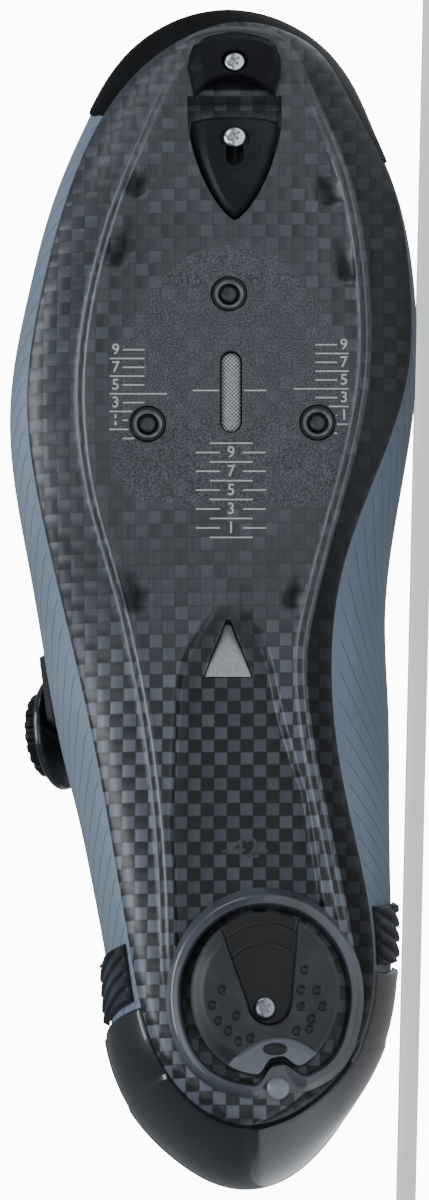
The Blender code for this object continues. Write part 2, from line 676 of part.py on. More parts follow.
# Dial on the outer end of the instep strap
dial_around = around_at(DIAL_SHARE, +1)
dial_seat = upper_point(dial_around, DIAL_RISE, STRAP_GAP + STRAP_THICKNESS + GAP)
dial_normal = upper_point(dial_around, DIAL_RISE, 1.0) - upper_point(dial_around, DIAL_RISE)
DIAL = bpy.data.objects.new("dial frame", None)
PARTS.objects.link(DIAL)
DIAL.parent = SHOE
DIAL.location = Vector(dial_seat)
DIAL.rotation_mode = "QUATERNION"
DIAL.rotation_quaternion = Vector(dial_normal).to_track_quat("Y", "X")
dial_base = piece("dial_base", cylinder(
    DIAL_BASE_RADIUS, 0.0, DIAL_BASE_HEIGHT, sides=DIAL_SIDES,
), GLOSS, DIAL)
rounded(dial_base, DIAL_BASE_EDGE)
knob_low = DIAL_BASE_HEIGHT + GAP
dial_knob = piece("dial_knob", cylinder(
    DIAL_RADIUS, knob_low, knob_low + DIAL_HEIGHT, sides=DIAL_SIDES,
), MATTE, DIAL)
rounded(dial_knob, DIAL_EDGE)


def over_tread(place):
    """Place along X and Z of a point given as shares of LENGTH and BALL_WIDTH."""
    return place[0] * LENGTH, place[1] * BALL_WIDTH


# Cleat nuts, flush in the ball of the sole
for name, place in NUT_PLACES.items():
    center = over_tread(place)
    level = float(sole_bottom(place[0]))
    hole = cutter(f"nut hole {name}", cylinder(
        NUT_RADIUS + GAP, level - CUT_OUTSIDE, level + NUT_DEPTH + GAP, center,
    ))
    cut(sole, hole)
    nut = piece(f"cleat_nut_{name}", cylinder(NUT_RADIUS, level, level + NUT_DEPTH, center), STEEL)
    bore = cutter(f"nut bore {name}", cylinder(
        NUT_BORE, level - CUT_OUTSIDE, level + NUT_DEPTH + CUT_OUTSIDE, center,
    ))
    cut(nut, bore)

# Vents under the ball and the arch, each closed by a mesh
ball_vent = stadium(over_tread(BALL_VENT_PLACE), BALL_VENT_LENGTH, BALL_VENT_WIDTH, ROUND_SIDES)
ball_mesh = stadium(
    over_tread(BALL_VENT_PLACE), BALL_VENT_LENGTH - 2 * GAP, BALL_VENT_WIDTH - 2 * GAP, ROUND_SIDES,
)
level = float(sole_bottom(BALL_VENT_PLACE[0]))
cut(sole, cutter("ball vent", prism(
    ball_vent, level - CUT_OUTSIDE, level + MESH_SINK + MESH_THICKNESS + GAP,
)))
piece("ball_vent_mesh", prism(ball_mesh, level + MESH_SINK, level + MESH_SINK + MESH_THICKNESS), MESH)


def vent_triangle(shrink):
    """Outline of the arch vent, apex to the toe, drawn in by shrink."""
    x, z = over_tread(ARCH_VENT_PLACE)
    ahead = ARCH_VENT_LENGTH / 2 - 2.4 * shrink
    behind = -ARCH_VENT_LENGTH / 2 + shrink
    half = ARCH_VENT_WIDTH / 2 - 1.4 * shrink
    return [
        (x + ahead, z + 0.10 * half), (x + ahead, z - 0.10 * half), (x + 0.4 * behind, z - 0.75 * half),
        (x + behind, z - half), (x + behind, z + half), (x + 0.4 * behind, z + 0.75 * half),
    ]


floor = float(sole_bottom(ARCH_VENT_PLACE[0]) + SOLE_AT["well"](ARCH_VENT_PLACE[0]) * INSTEP_HEIGHT)
cut(sole, cutter("arch vent", prism(
    vent_triangle(0.0), floor - CUT_OUTSIDE, floor + MESH_SINK + MESH_THICKNESS + GAP,
)))
piece("arch_vent_mesh", prism(
    vent_triangle(GAP), floor + MESH_SINK, floor + MESH_SINK + MESH_THICKNESS,
), MESH)

# Toe plate: its own frame lies on the tread and follows the toe spring
toe_share = TOE_PLACE[0]
toe_x, toe_z = over_tread(TOE_PLACE)
fall = float(sole_bottom(toe_share + TOE_AHEAD) - sole_bottom(toe_share - TOE_BEHIND))
toe_slope = math.atan2(fall, (TOE_AHEAD + TOE_BEHIND) * LENGTH)
TOE = bpy.data.objects.new("toe frame", None)
PARTS.objects.link(TOE)
TOE.parent = SHOE
TOE.location = (toe_x, float(sole_bottom(toe_share)), toe_z)
TOE.rotation_euler = (0.0, 0.0, toe_slope)


def wedge(grow, ahead):
    """The slider's outline, grown by a clearance: a straight front and bowed sides that meet in a round tip."""
    half = SLIDER_WIDTH / 2 + grow
    length = SLIDER_LENGTH + grow
    turns = np.linspace(math.pi / 2, -math.pi / 2, SLIDER_POINTS)
    share = np.cos(turns)
    sides = np.sign(turns) * half * (1 - share**SLIDER_BOW) ** SLIDER_FULLNESS
    bow = list(zip(-length * share, sides))
    return [(ahead, -half), (ahead, half), *bow] if ahead else bow


pocket = wedge(SLIDER_CLEARANCE, TOE_MOUTH)
cut(sole, cutter("toe pocket", prism(pocket, -CUT_OUTSIDE, TOE_POCKET_DEPTH), TOE))

pad_start = TOE_MOUTH - GAP
pad_outline = [
    (pad_start, 0.45 * PAD_WIDTH), (pad_start + PAD_ARC, PAD_WIDTH / 4), (pad_start + PAD_ARC * 1.3, 0.0),
    (pad_start + PAD_ARC, -PAD_WIDTH / 4), (pad_start, -0.45 * PAD_WIDTH),
    (pad_start + 0.6 * PAD_LENGTH, -0.52 * PAD_WIDTH), (pad_start + 0.88 * PAD_LENGTH, -0.42 * PAD_WIDTH),
    (pad_start + PAD_LENGTH, -0.20 * PAD_WIDTH), (pad_start + PAD_LENGTH, 0.20 * PAD_WIDTH),
    (pad_start + 0.88 * PAD_LENGTH, 0.42 * PAD_WIDTH), (pad_start + 0.6 * PAD_LENGTH, 0.52 * PAD_WIDTH),
]
middle_x = sum(x for x, _ in pad_outline) / len(pad_outline)
grown = 1 + 2 * GAP / PAD_LENGTH * 2
seat_outline = [((x - middle_x) * grown + middle_x, z * grown) for x, z in pad_outline]
cut(sole, cutter("toe pad seat", prism(seat_outline, -CUT_OUTSIDE, PAD_SINK + GAP), TOE))
toe_pad = piece("toe_pad", prism(pad_outline, -TOE_PAD_HEIGHT, PAD_SINK), MATTE, TOE)
rounded(toe_pad, PAD_EDGE)

# Vent shutter: it slides toward the toe on a screw that stays with the shoe
slider_top = TOE_POCKET_DEPTH - GAP
slider_face = slider_top - SLIDER_HEIGHT
slider = piece("vent_slider", prism(wedge(0.0, 0.0), slider_face, slider_top), GLOSS, TOE)
slot_end = SCREW_SLOT_PLACE - SLIDER_TRAVEL - SLOT_WIDTH / 2 - GAP
slot_start = SCREW_SLOT_PLACE + SLOT_WIDTH / 2 + GAP


def slot_outline(start, end, width):
    """Outline of a slot with round ends along X."""
    radius = width / 2
    front = [(start - radius + radius * math.cos(a), radius * math.sin(a))
             for a in np.linspace(-math.pi / 2, math.pi / 2, 9)]
    back = [(end + radius - radius * math.cos(a), -radius * math.sin(a))
            for a in np.linspace(-math.pi / 2, math.pi / 2, 9)]
    return front + back


cut(slider, cutter("slider slot", prism(
    slot_outline(slot_start, slot_end, SLOT_WIDTH), slider_face - CUT_OUTSIDE, slider_top + CUT_OUTSIDE,
), TOE))


def screw(name, center, seat, shank_end, parent):
    """A round-headed screw: its head stands on seat, its shank reaches up to shank_end."""
    head = cylinder(SCREW_RADIUS, seat - SCREW_HEAD, seat, center)
    made = piece(name, head, STEEL, parent)
    shank = cylinder(SHANK_RADIUS, seat - SCREW_HEAD / 2, shank_end, center)
    cut(made, cutter(f"{name} shank", shank, parent), "UNION")


screw("slider_screw", (SCREW_SLOT_PLACE, 0.0), slider_face - GAP, slider_top, TOE)
pad_screw_x = TOE_MOUTH + PAD_SCREW_PLACE
pad_face = -TOE_PAD_HEIGHT
cut(toe_pad, cutter("pad screw recess", cylinder(
    SCREW_RADIUS + GAP, pad_face - CUT_OUTSIDE, pad_face + SCREW_HEAD + GAP, (pad_screw_x, 0.0),
), TOE))
piece("toe_screw", cylinder(SCREW_RADIUS, pad_face, pad_face + SCREW_HEAD, (pad_screw_x, 0.0)), STEEL, TOE)

# Heel: a raised ring on the plate, and the pad that the shoe stands on
ring_center = over_tread(HEEL_PAD_PLACE)
heel_level = float(sole_bottom(HEEL_PAD_PLACE[0]))
ring_hole = (HEEL_RING_LENGTH - 2 * HEEL_RING_BAND, HEEL_RING_WIDTH - 2 * HEEL_RING_BAND)
ring_body = cutter("heel ring", prism(
    oval(ring_center, HEEL_RING_LENGTH, HEEL_RING_WIDTH, RING_SIDES),
    heel_level - HEEL_RING_HEIGHT, heel_level + RING_ROOT,
))
cut(sole, ring_body, "UNION")
cut(sole, cutter("heel pocket", prism(
    oval(ring_center, *ring_hole, RING_SIDES), heel_level - CUT_OUTSIDE, heel_level + HEEL_POCKET_DEPTH,
)))
pad_top = heel_level + HEEL_POCKET_DEPTH - GAP
heel_pad = piece("heel_pad", prism(
    oval(ring_center, *(size - 2 * HEEL_PAD_CLEARANCE for size in ring_hole), RING_SIDES), 0.0, pad_top,
), MATTE)
valley_x = ring_center[0] - VALLEY_BACK
valley = [
    (ring_center[0] + HEEL_RING_LENGTH / 2, VALLEY_FRONT + ring_center[1]),
    (ring_center[0] + HEEL_RING_LENGTH / 2, -VALLEY_FRONT + ring_center[1]),
] + [
    (valley_x - VALLEY_TIP * math.cos(a), ring_center[1] + VALLEY_TIP * math.sin(a))
    for a in np.linspace(-VALLEY_SPREAD, VALLEY_SPREAD, 9)
]
cut(heel_pad, cutter("heel pad valley", prism(valley, -CUT_OUTSIDE, VALLEY_DEPTH)))
step_center = (ring_center[0] - STEP_BACK, ring_center[1])
cut(heel_pad, cutter("heel pad step", prism(
    oval(step_center, *ring_hole, RING_SIDES), -CUT_OUTSIDE, STEP_DEPTH,
)))
heel_screw_center = (valley_x, ring_center[1])
piece("heel_screw", cylinder(
    SCREW_RADIUS, VALLEY_DEPTH - GAP - SCREW_HEAD, VALLEY_DEPTH - GAP, heel_screw_center,
), STEEL)
rivet_center = (ring_center[0] - HEEL_RING_LENGTH / 2 + HEEL_RING_BAND / 2, ring_center[1] - RIVET_SIDE)
rivet_low = heel_level - HEEL_RING_HEIGHT - RIVET_PROUD
cut(sole, cutter("rivet seat", cylinder(
    SCREW_RADIUS + GAP, rivet_low - CUT_OUTSIDE, heel_level + GAP, rivet_center,
)))
piece("heel_rivet", cylinder(SCREW_RADIUS, rivet_low, heel_level, rivet_center), GREY)


def solid_points():
    """Every piece's points in the shoe's frame, with each solid's volume and centre."""
    bpy.context.view_layer.update()
    graph = bpy.context.evaluated_depsgraph_get()
    points = []
    weight = 0.0
    moment = Vector((0.0, 0.0, 0.0))
    for item in PARTS.objects:
        if item.type != "MESH":
            continue
        evaluated = item.evaluated_get(graph)
        mesh = evaluated.to_mesh()
        places = [evaluated.matrix_world @ vertex.co for vertex in mesh.vertices]
        points.extend(places)
        mesh.calc_loop_triangles()
        for triangle in mesh.loop_triangles:
            a, b, c = (places[k] for k in triangle.vertices)
            volume = a.dot(b.cross(c)) / 6
            weight += volume
            moment += (a + b + c) / 4 * volume
        evaluated.to_mesh_clear()
    return points, moment / weight


def resting_face(points, center):
    """Outward normal of the hull's face that the shoe rests on when it lies on its inner side."""
    build = bmesh.new()
    for point in points:
        build.verts.new(point)
    hull = bmesh.ops.convex_hull(build, input=build.verts)
    best = None
    for face in (item for item in hull["geom"] if isinstance(item, bmesh.types.BMFace)):
        normal = face.normal
        if normal.dot(face.calc_center_median() - center) < 0:
            normal = -normal
        corners = [vertex.co for vertex in face.verts]
        foot = center + normal * normal.dot(corners[0] - center)
        turns = [
            (corners[(k + 1) % len(corners)] - corners[k]).cross(foot - corners[k]).dot(face.normal)
            for k in range(len(corners))
        ]
        held = all(turn >= 0 for turn in turns) or all(turn <= 0 for turn in turns)
        if held and (best is None or normal.z < best.z):
            best = normal.copy()
    build.free()
    return best


# Lay the shoe down: the resting face to the floor, the toe along +X, the middle of its box at the origin
all_points, mass_center = solid_points()
rest_normal = resting_face(all_points, mass_center)
lay = rest_normal.rotation_difference(Vector((0.0, 0.0, -1.0)))
heading = lay @ Vector((1.0, 0.0, 0.0))
turn = Matrix.Rotation(-math.atan2(heading.y, heading.x), 4, "Z") @ lay.to_matrix().to_4x4()
placed = [turn @ point for point in all_points]
corners = [[pick(point[k] for point in placed) for k in range(3)] for pick in (min, max)]
SHOE.rotation_mode = "QUATERNION"
SHOE.rotation_quaternion = turn.to_quaternion()
SHOE.location = (
    -(corners[0][0] + corners[1][0]) / 2, -(corners[0][1] + corners[1][1]) / 2, -corners[0][2],
)
bpy.context.view_layer.update()
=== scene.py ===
"""Looks of a right road cycling shoe that lies on its inner side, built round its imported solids.

Every piece is modelled in the shoe's own frame, in metres: X from heel to toe, Y from the ground up
through the sole, Z from the inner side to the outer side. SHOE is where that frame lies."""

import json
import math

import bmesh
import bpy
import numpy as np
from mathutils import Matrix, Vector

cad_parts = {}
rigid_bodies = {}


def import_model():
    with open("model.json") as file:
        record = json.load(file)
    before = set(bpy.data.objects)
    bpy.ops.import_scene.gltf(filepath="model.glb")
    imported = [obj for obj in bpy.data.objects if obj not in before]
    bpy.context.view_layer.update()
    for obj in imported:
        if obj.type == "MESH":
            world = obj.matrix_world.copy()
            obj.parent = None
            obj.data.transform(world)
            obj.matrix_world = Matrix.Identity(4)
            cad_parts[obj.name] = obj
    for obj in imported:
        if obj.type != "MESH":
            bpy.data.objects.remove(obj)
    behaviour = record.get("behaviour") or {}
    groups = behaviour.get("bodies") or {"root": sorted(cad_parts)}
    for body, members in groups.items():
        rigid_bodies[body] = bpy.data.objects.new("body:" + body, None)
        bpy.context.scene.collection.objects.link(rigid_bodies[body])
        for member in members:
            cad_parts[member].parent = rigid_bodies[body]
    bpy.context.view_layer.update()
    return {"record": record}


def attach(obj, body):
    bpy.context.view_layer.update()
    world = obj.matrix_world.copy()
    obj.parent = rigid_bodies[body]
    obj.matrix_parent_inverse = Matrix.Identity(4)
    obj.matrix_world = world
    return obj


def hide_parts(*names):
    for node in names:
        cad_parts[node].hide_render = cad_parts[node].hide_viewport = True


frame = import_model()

# Driving sizes, as in the part's source
LENGTH = 0.284
BALL_WIDTH = 0.092
INSTEP_HEIGHT = 0.098
GAP = 0.0003
UPPER_WALL = 0.0021
SOLE_SEAT = 0.0008
INSOLE_THICKNESS = 0.0030
INSOLE_CLEARANCE = 0.0008
RIB_HEIGHT = 0.0009
RIB_WIDTH = 0.0326 * BALL_WIDTH
WELL_BANK = 0.0239 * BALL_WIDTH
RING_SHARE = 0.156
ARCH_SHARE = 0.446
RING_CENTER = (RING_SHARE * LENGTH, -0.062 * BALL_WIDTH)
HEEL_MOUNT = (RING_CENTER[0] + 0.0020, RING_CENTER[1] + 0.0100)

# One row for each rib of the upper, round the foot from the heel by the outer side. Lengths along
# the foot are shares of LENGTH, widths of BALL_WIDTH and heights of INSTEP_HEIGHT.
RIB_COLUMNS = ("at", "side", "edge", "top_at", "top_side", "top_up", "swell", "belly", "shoulder", "drop")
RIBS = (
    ("heel end", 0.051, -0.026, 0.17, 0.024, -0.033, 0.80, 0.235, 0.20, 0.00, 0.22),
    ("heel corner, outer", 0.067, 0.108, 0.17, 0.032, 0.087, 0.79, 0.205, 0.20, 0.00, 0.22),
    ("heel curve, outer", 0.109, 0.210, 0.17, 0.070, 0.196, 0.74, 0.215, 0.20, 0.01, 0.20),
    ("heel side, outer", 0.193, 0.279, 0.18, 0.158, 0.277, 0.65, 0.142, 0.18, 0.03, 0.16),
    ("arch back, outer", 0.261, 0.315, 0.19, 0.239, 0.304, 0.65, 0.140, 0.18, 0.05, 0.18),
    ("collar rise, outer", 0.324, 0.349, 0.20, 0.310, 0.266, 0.78, 0.180, 0.22, 0.10, 0.20),
    ("waist, outer", 0.405, 0.400, 0.21, 0.366, 0.174, 0.96, 0.222, 0.24, 0.20, 0.10),
    ("ball back, outer", 0.528, 0.490, 0.15, 0.493, 0.152, 0.81, 0.207, 0.20, 0.22, 0.06),
    ("ball, outer", 0.651, 0.547, 0.09, 0.599, 0.136, 0.65, 0.209, 0.18, 0.23, 0.04),
    ("little toe", 0.750, 0.507, 0.10, 0.655, 0.112, 0.585, 0.199, 0.17, 0.24, 0.03),
    ("toe side, outer", 0.845, 0.429, 0.13, 0.680, 0.090, 0.56, 0.200, 0.17, 0.30, 0.01),
    ("toe curve, outer", 0.914, 0.333, 0.18, 0.695, 0.064, 0.545, 0.222, 0.18, 0.38, 0.00),
    ("toe corner, outer", 0.963, 0.201, 0.23, 0.703, 0.036, 0.54, 0.325, 0.20, 0.46, -0.01),
    ("toe tip", 0.990, 0.011, 0.26, 0.706, 0.002, 0.54, 0.315, 0.20, 0.52, -0.01),
    ("toe corner, inner", 0.966, -0.198, 0.23, 0.703, -0.032, 0.54, 0.195, 0.20, 0.46, -0.01),
    ("toe curve, inner", 0.914, -0.292, 0.18, 0.695, -0.060, 0.545, 0.155, 0.18, 0.38, 0.00),
    ("toe side, inner", 0.845, -0.389, 0.13, 0.680, -0.087, 0.56, 0.112, 0.17, 0.30, 0.01),
    ("big toe", 0.750, -0.439, 0.10, 0.655, -0.112, 0.585, 0.108, 0.17, 0.23, 0.03),
    ("ball, inner", 0.669, -0.430, 0.09, 0.604, -0.136, 0.65, 0.115, 0.18, 0.22, 0.04),
    ("ball back, inner", 0.589, -0.349, 0.12, 0.528, -0.152, 0.77, 0.191, 0.20, 0.18, 0.05),
    ("waist, inner", 0.514, -0.266, 0.18, 0.444, -0.174, 0.89, 0.267, 0.22, 0.16, 0.07),
    ("arch, inner", 0.423, -0.237, 0.22, 0.373, -0.190, 0.97, 0.326, 0.24, 0.14, 0.10),
    ("arch back, inner", 0.324, -0.272, 0.21, 0.310, -0.261, 0.82, 0.250, 0.22, 0.09, 0.20),
    ("heel side, inner", 0.214, -0.335, 0.19, 0.239, -0.310, 0.67, 0.141, 0.18, 0.04, 0.18),
    ("heel curve, inner", 0.120, -0.304, 0.17, 0.127, -0.283, 0.69, 0.125, 0.20, 0.02, 0.20),
    ("heel corner, inner", 0.067, -0.165, 0.17, 0.042, -0.163, 0.78, 0.150, 0.20, 0.00, 0.22),
)

# One row for each station of the sole, as in the part's source
SOLE_COLUMNS = ("at", "bottom", "lift", "rib_out", "rib_in", "rib", "well_out", "well_in", "well")
SOLE = (
    ("heel end", 0.051, 0.105, 0.040, 0.60, 0.60, 0.0, 0.10, -0.16, 0.000),
    ("heel curve", 0.085, 0.092, 0.045, 0.66, 0.74, 0.0, 0.11, -0.17, 0.000),
    ("heel", 0.160, 0.088, 0.050, 0.70, 0.82, 0.2, 0.15, -0.21, 0.000),
    ("heel front", 0.235, 0.092, 0.055, 0.65, 0.76, 1.0, 0.17, -0.23, 0.022),
    ("arch back", 0.320, 0.118, 0.060, 0.62, 0.72, 1.0, 0.162, -0.160, 0.026),
    ("arch", 0.400, 0.138, 0.060, 0.63, 0.66, 1.0, 0.148, -0.085, 0.026),
    ("arch front", 0.450, 0.128, 0.058, 0.65, 0.66, 1.0, 0.112, -0.046, 0.024),
    ("waist", 0.484, 0.104, 0.056, 0.67, 0.72, 1.0, 0.045, 0.005, 0.006),
    ("ball back", 0.560, 0.040, 0.052, 0.73, 0.77, 1.0, 0.050, -0.010, 0.000),
    ("ball", 0.630, 0.000, 0.050, 0.745, 0.74, 1.0, 0.060, -0.020, 0.000),
    ("ball front", 0.740, 0.000, 0.050, 0.74, 0.71, 1.0, 0.060, -0.020, 0.000),
    ("toe base", 0.825, 0.028, 0.048, 0.69, 0.68, 0.8, 0.060, -0.020, 0.000),
    ("toe", 0.900, 0.085, 0.044, 0.62, 0.64, 0.2, 0.060, -0.020, 0.000),
    ("toe curve", 0.960, 0.142, 0.040, 0.60, 0.60, 0.0, 0.060, -0.020, 0.000),
    ("toe tip", 0.990, 0.180, 0.036, 0.60, 0.60, 0.0, 0.030, -0.010, 0.000),
)


def drawn(rows, columns):
    """The table's rows as one array of numbers for each named column."""
    return {name: np.array([row[k + 1] for row in rows]) for k, name in enumerate(columns)}


def second_slopes(knots, values, closed):
    """Second derivatives at the knots of the smooth cubic through the values."""
    count = len(values)
    span = len(knots) - 1
    system = np.eye(count)
    right = np.zeros(count)
    for k in range(count) if closed else range(1, count - 1):
        before = knots[k] - knots[k - 1] if k else knots[span] - knots[span - 1]
        after = knots[k + 1] - knots[k]
        last, following = (k - 1) % count, (k + 1) % count
        system[k, k] = (before + after) / 3
        system[k, last] = before / 6
        system[k, following] = after / 6
        right[k] = (values[following] - values[k]) / after - (values[k] - values[last]) / before
    return np.linalg.solve(system, right)


def smooth(knots, values, closed=False):
    """A function that gives the smooth cubic through the values at any place."""
    bends = second_slopes(knots, values, closed)
    if closed:
        values = np.append(values, values[0])
        bends = np.append(bends, bends[0])

    def at(place):
        place = np.asarray(place, dtype=float)
        if closed:
            place = place % 1.0
        k = np.clip(np.searchsorted(knots, place, side="right") - 1, 0, len(knots) - 2)
        width = knots[k + 1] - knots[k]
        high = (place - knots[k]) / width
        low = 1 - high
        bow = ((low**3 - low) * bends[k] + (high**3 - high) * bends[k + 1]) * width**2 / 6
        return low * values[k] + high * values[k + 1] + bow

    return at


RIB_TABLE = drawn(RIBS, RIB_COLUMNS)
ROUND_STEPS = np.hypot(
    np.diff(np.append(RIB_TABLE["at"], RIB_TABLE["at"][0])) * LENGTH,
    np.diff(np.append(RIB_TABLE["side"], RIB_TABLE["side"][0])) * BALL_WIDTH,
)
ROUND_KNOTS = np.concatenate([[0.0], np.cumsum(ROUND_STEPS)]) / ROUND_STEPS.sum()
RIB = {name: smooth(ROUND_KNOTS, values, closed=True) for name, values in RIB_TABLE.items()}
TOE_ROUND = ROUND_KNOTS[[row[0] for row in RIBS].index("toe tip")]
SOLE_TABLE = drawn(SOLE, SOLE_COLUMNS)
SOLE_AT = {name: smooth(SOLE_TABLE["at"], values) for name, values in SOLE_TABLE.items()}
DENSE_OUT = np.linspace(0.0, TOE_ROUND, 400)
DENSE_IN = np.linspace(1.0, TOE_ROUND, 400)


def half_width(share, sign):
    """Signed width of the sole's outline at a share of LENGTH, on the outer (+1) or inner (-1) side."""
    dense = DENSE_OUT if sign > 0 else DENSE_IN
    return np.interp(share, RIB["at"](dense), RIB["side"](dense)) * BALL_WIDTH


def edge_height(share):
    """Height of the sole's top edge, where the upper starts."""
    outer = np.interp(share, RIB["at"](DENSE_OUT), RIB["edge"](DENSE_OUT))
    inner = np.interp(share, RIB["at"](DENSE_IN), RIB["edge"](DENSE_IN))
    return (outer + inner) / 2 * INSTEP_HEIGHT


def outline_normal(around):
    """Unit vector in the ground plane that points out of the sole's outline."""
    step = 1e-4
    along = (RIB["at"](around + step) - RIB["at"](around - step)) * LENGTH
    across = (RIB["side"](around + step) - RIB["side"](around - step)) * BALL_WIDTH
    size = np.hypot(along, across)
    return -across / size, along / size


def rib_point(around, rise):
    """Points on the upper's outer face: around is 0 to 1 from the heel, rise 0 at the sole, 1 at the top."""
    around, rise = np.broadcast_arrays(np.asarray(around, float), np.asarray(rise, float))
    out_x, out_z = outline_normal(around)
    share = RIB["at"](around)
    foot = np.stack([
        share * LENGTH - out_x * SOLE_SEAT,
        edge_height(share) + GAP,
        RIB["side"](around) * BALL_WIDTH - out_z * SOLE_SEAT,
    ], axis=-1)
    top = np.stack([
        RIB["top_at"](around) * LENGTH,
        RIB["top_up"](around) * INSTEP_HEIGHT,
        RIB["top_side"](around) * BALL_WIDTH,
    ], axis=-1)
    zero = np.zeros_like(out_x)
    outward = np.stack([out_x, zero, out_z], axis=-1)
    upward = np.stack([zero, zero + INSTEP_HEIGHT, zero], axis=-1)
    low = foot + outward * (RIB["swell"](around) * BALL_WIDTH)[..., None]
    low = low + upward * RIB["belly"](around)[..., None]
    high = top + outward * (RIB["shoulder"](around) * BALL_WIDTH)[..., None]
    high = high - upward * RIB["drop"](around)[..., None]
    t = rise[..., None]
    s = 1 - t
    return s**3 * foot + 3 * s**2 * t * low + 3 * s * t**2 * high + t**3 * top


def upper_point(around, rise, out=0.0):
    """Points of the upper's function moved out along its normal."""
    around, rise = np.broadcast_arrays(np.asarray(around, float), np.asarray(rise, float))
    step = 1e-4
    along = rib_point(around + step, rise) - rib_point(around - step, rise)
    upward = rib_point(around, rise + step) - rib_point(around, rise - step)
    normal = np.cross(along, upward)
    normal /= np.linalg.norm(normal, axis=-1, keepdims=True)
    return rib_point(around, rise) + normal * np.asarray(out)[..., None]


def around_at(share, sign):
    """The place round the foot where the outline passes a share of LENGTH, on one side."""
    dense = DENSE_OUT if sign > 0 else DENSE_IN
    return float(np.interp(share, RIB["at"](dense), dense))


def top_around_at(share, sign):
    """The place round the foot whose rib ends on the throat at a share of LENGTH, on one side."""
    dense = (DENSE_OUT if sign > 0 else DENSE_IN)[100:]
    return float(np.interp(share, RIB["top_at"](dense), dense))


def sole_bottom(share):
    """Height of the tread's middle field, flat on the ground under the ball."""
    return np.maximum(SOLE_AT["bottom"](share) * INSTEP_HEIGHT, 0.0)


def ramp(low, high, value):
    """Smooth step from 0 at low to 1 at high."""
    t = np.clip((np.asarray(value, float) - low) / (high - low), 0.0, 1.0)
    return t * t * (3 - 2 * t)


def mound(value, middle, width):
    """Soft hump of height 1."""
    return np.exp(-(((value - middle) / width) ** 2))


def well_floor(share):
    """Height of the arch recess's floor."""
    return float(sole_bottom(share) + SOLE_AT["well"](share) * INSTEP_HEIGHT)


# The shoe's frame in the row: the heel pad's mount gives a point and the sole's normal
heel_mount = next(m for m in frame["record"]["mounts"] if m["name"] == "heel_pad_face")
up = -Vector(heel_mount["axis"]).normalized()
toward_toe = Vector((up.z, 0.0, -up.x)).normalized()
outward = toward_toe.cross(up)
SHOE = Matrix((toward_toe, up, outward)).transposed().to_4x4()
SHOE.translation = Vector(heel_mount["pos_m"]) - (toward_toe * HEEL_MOUNT[0] + outward * HEEL_MOUNT[1])


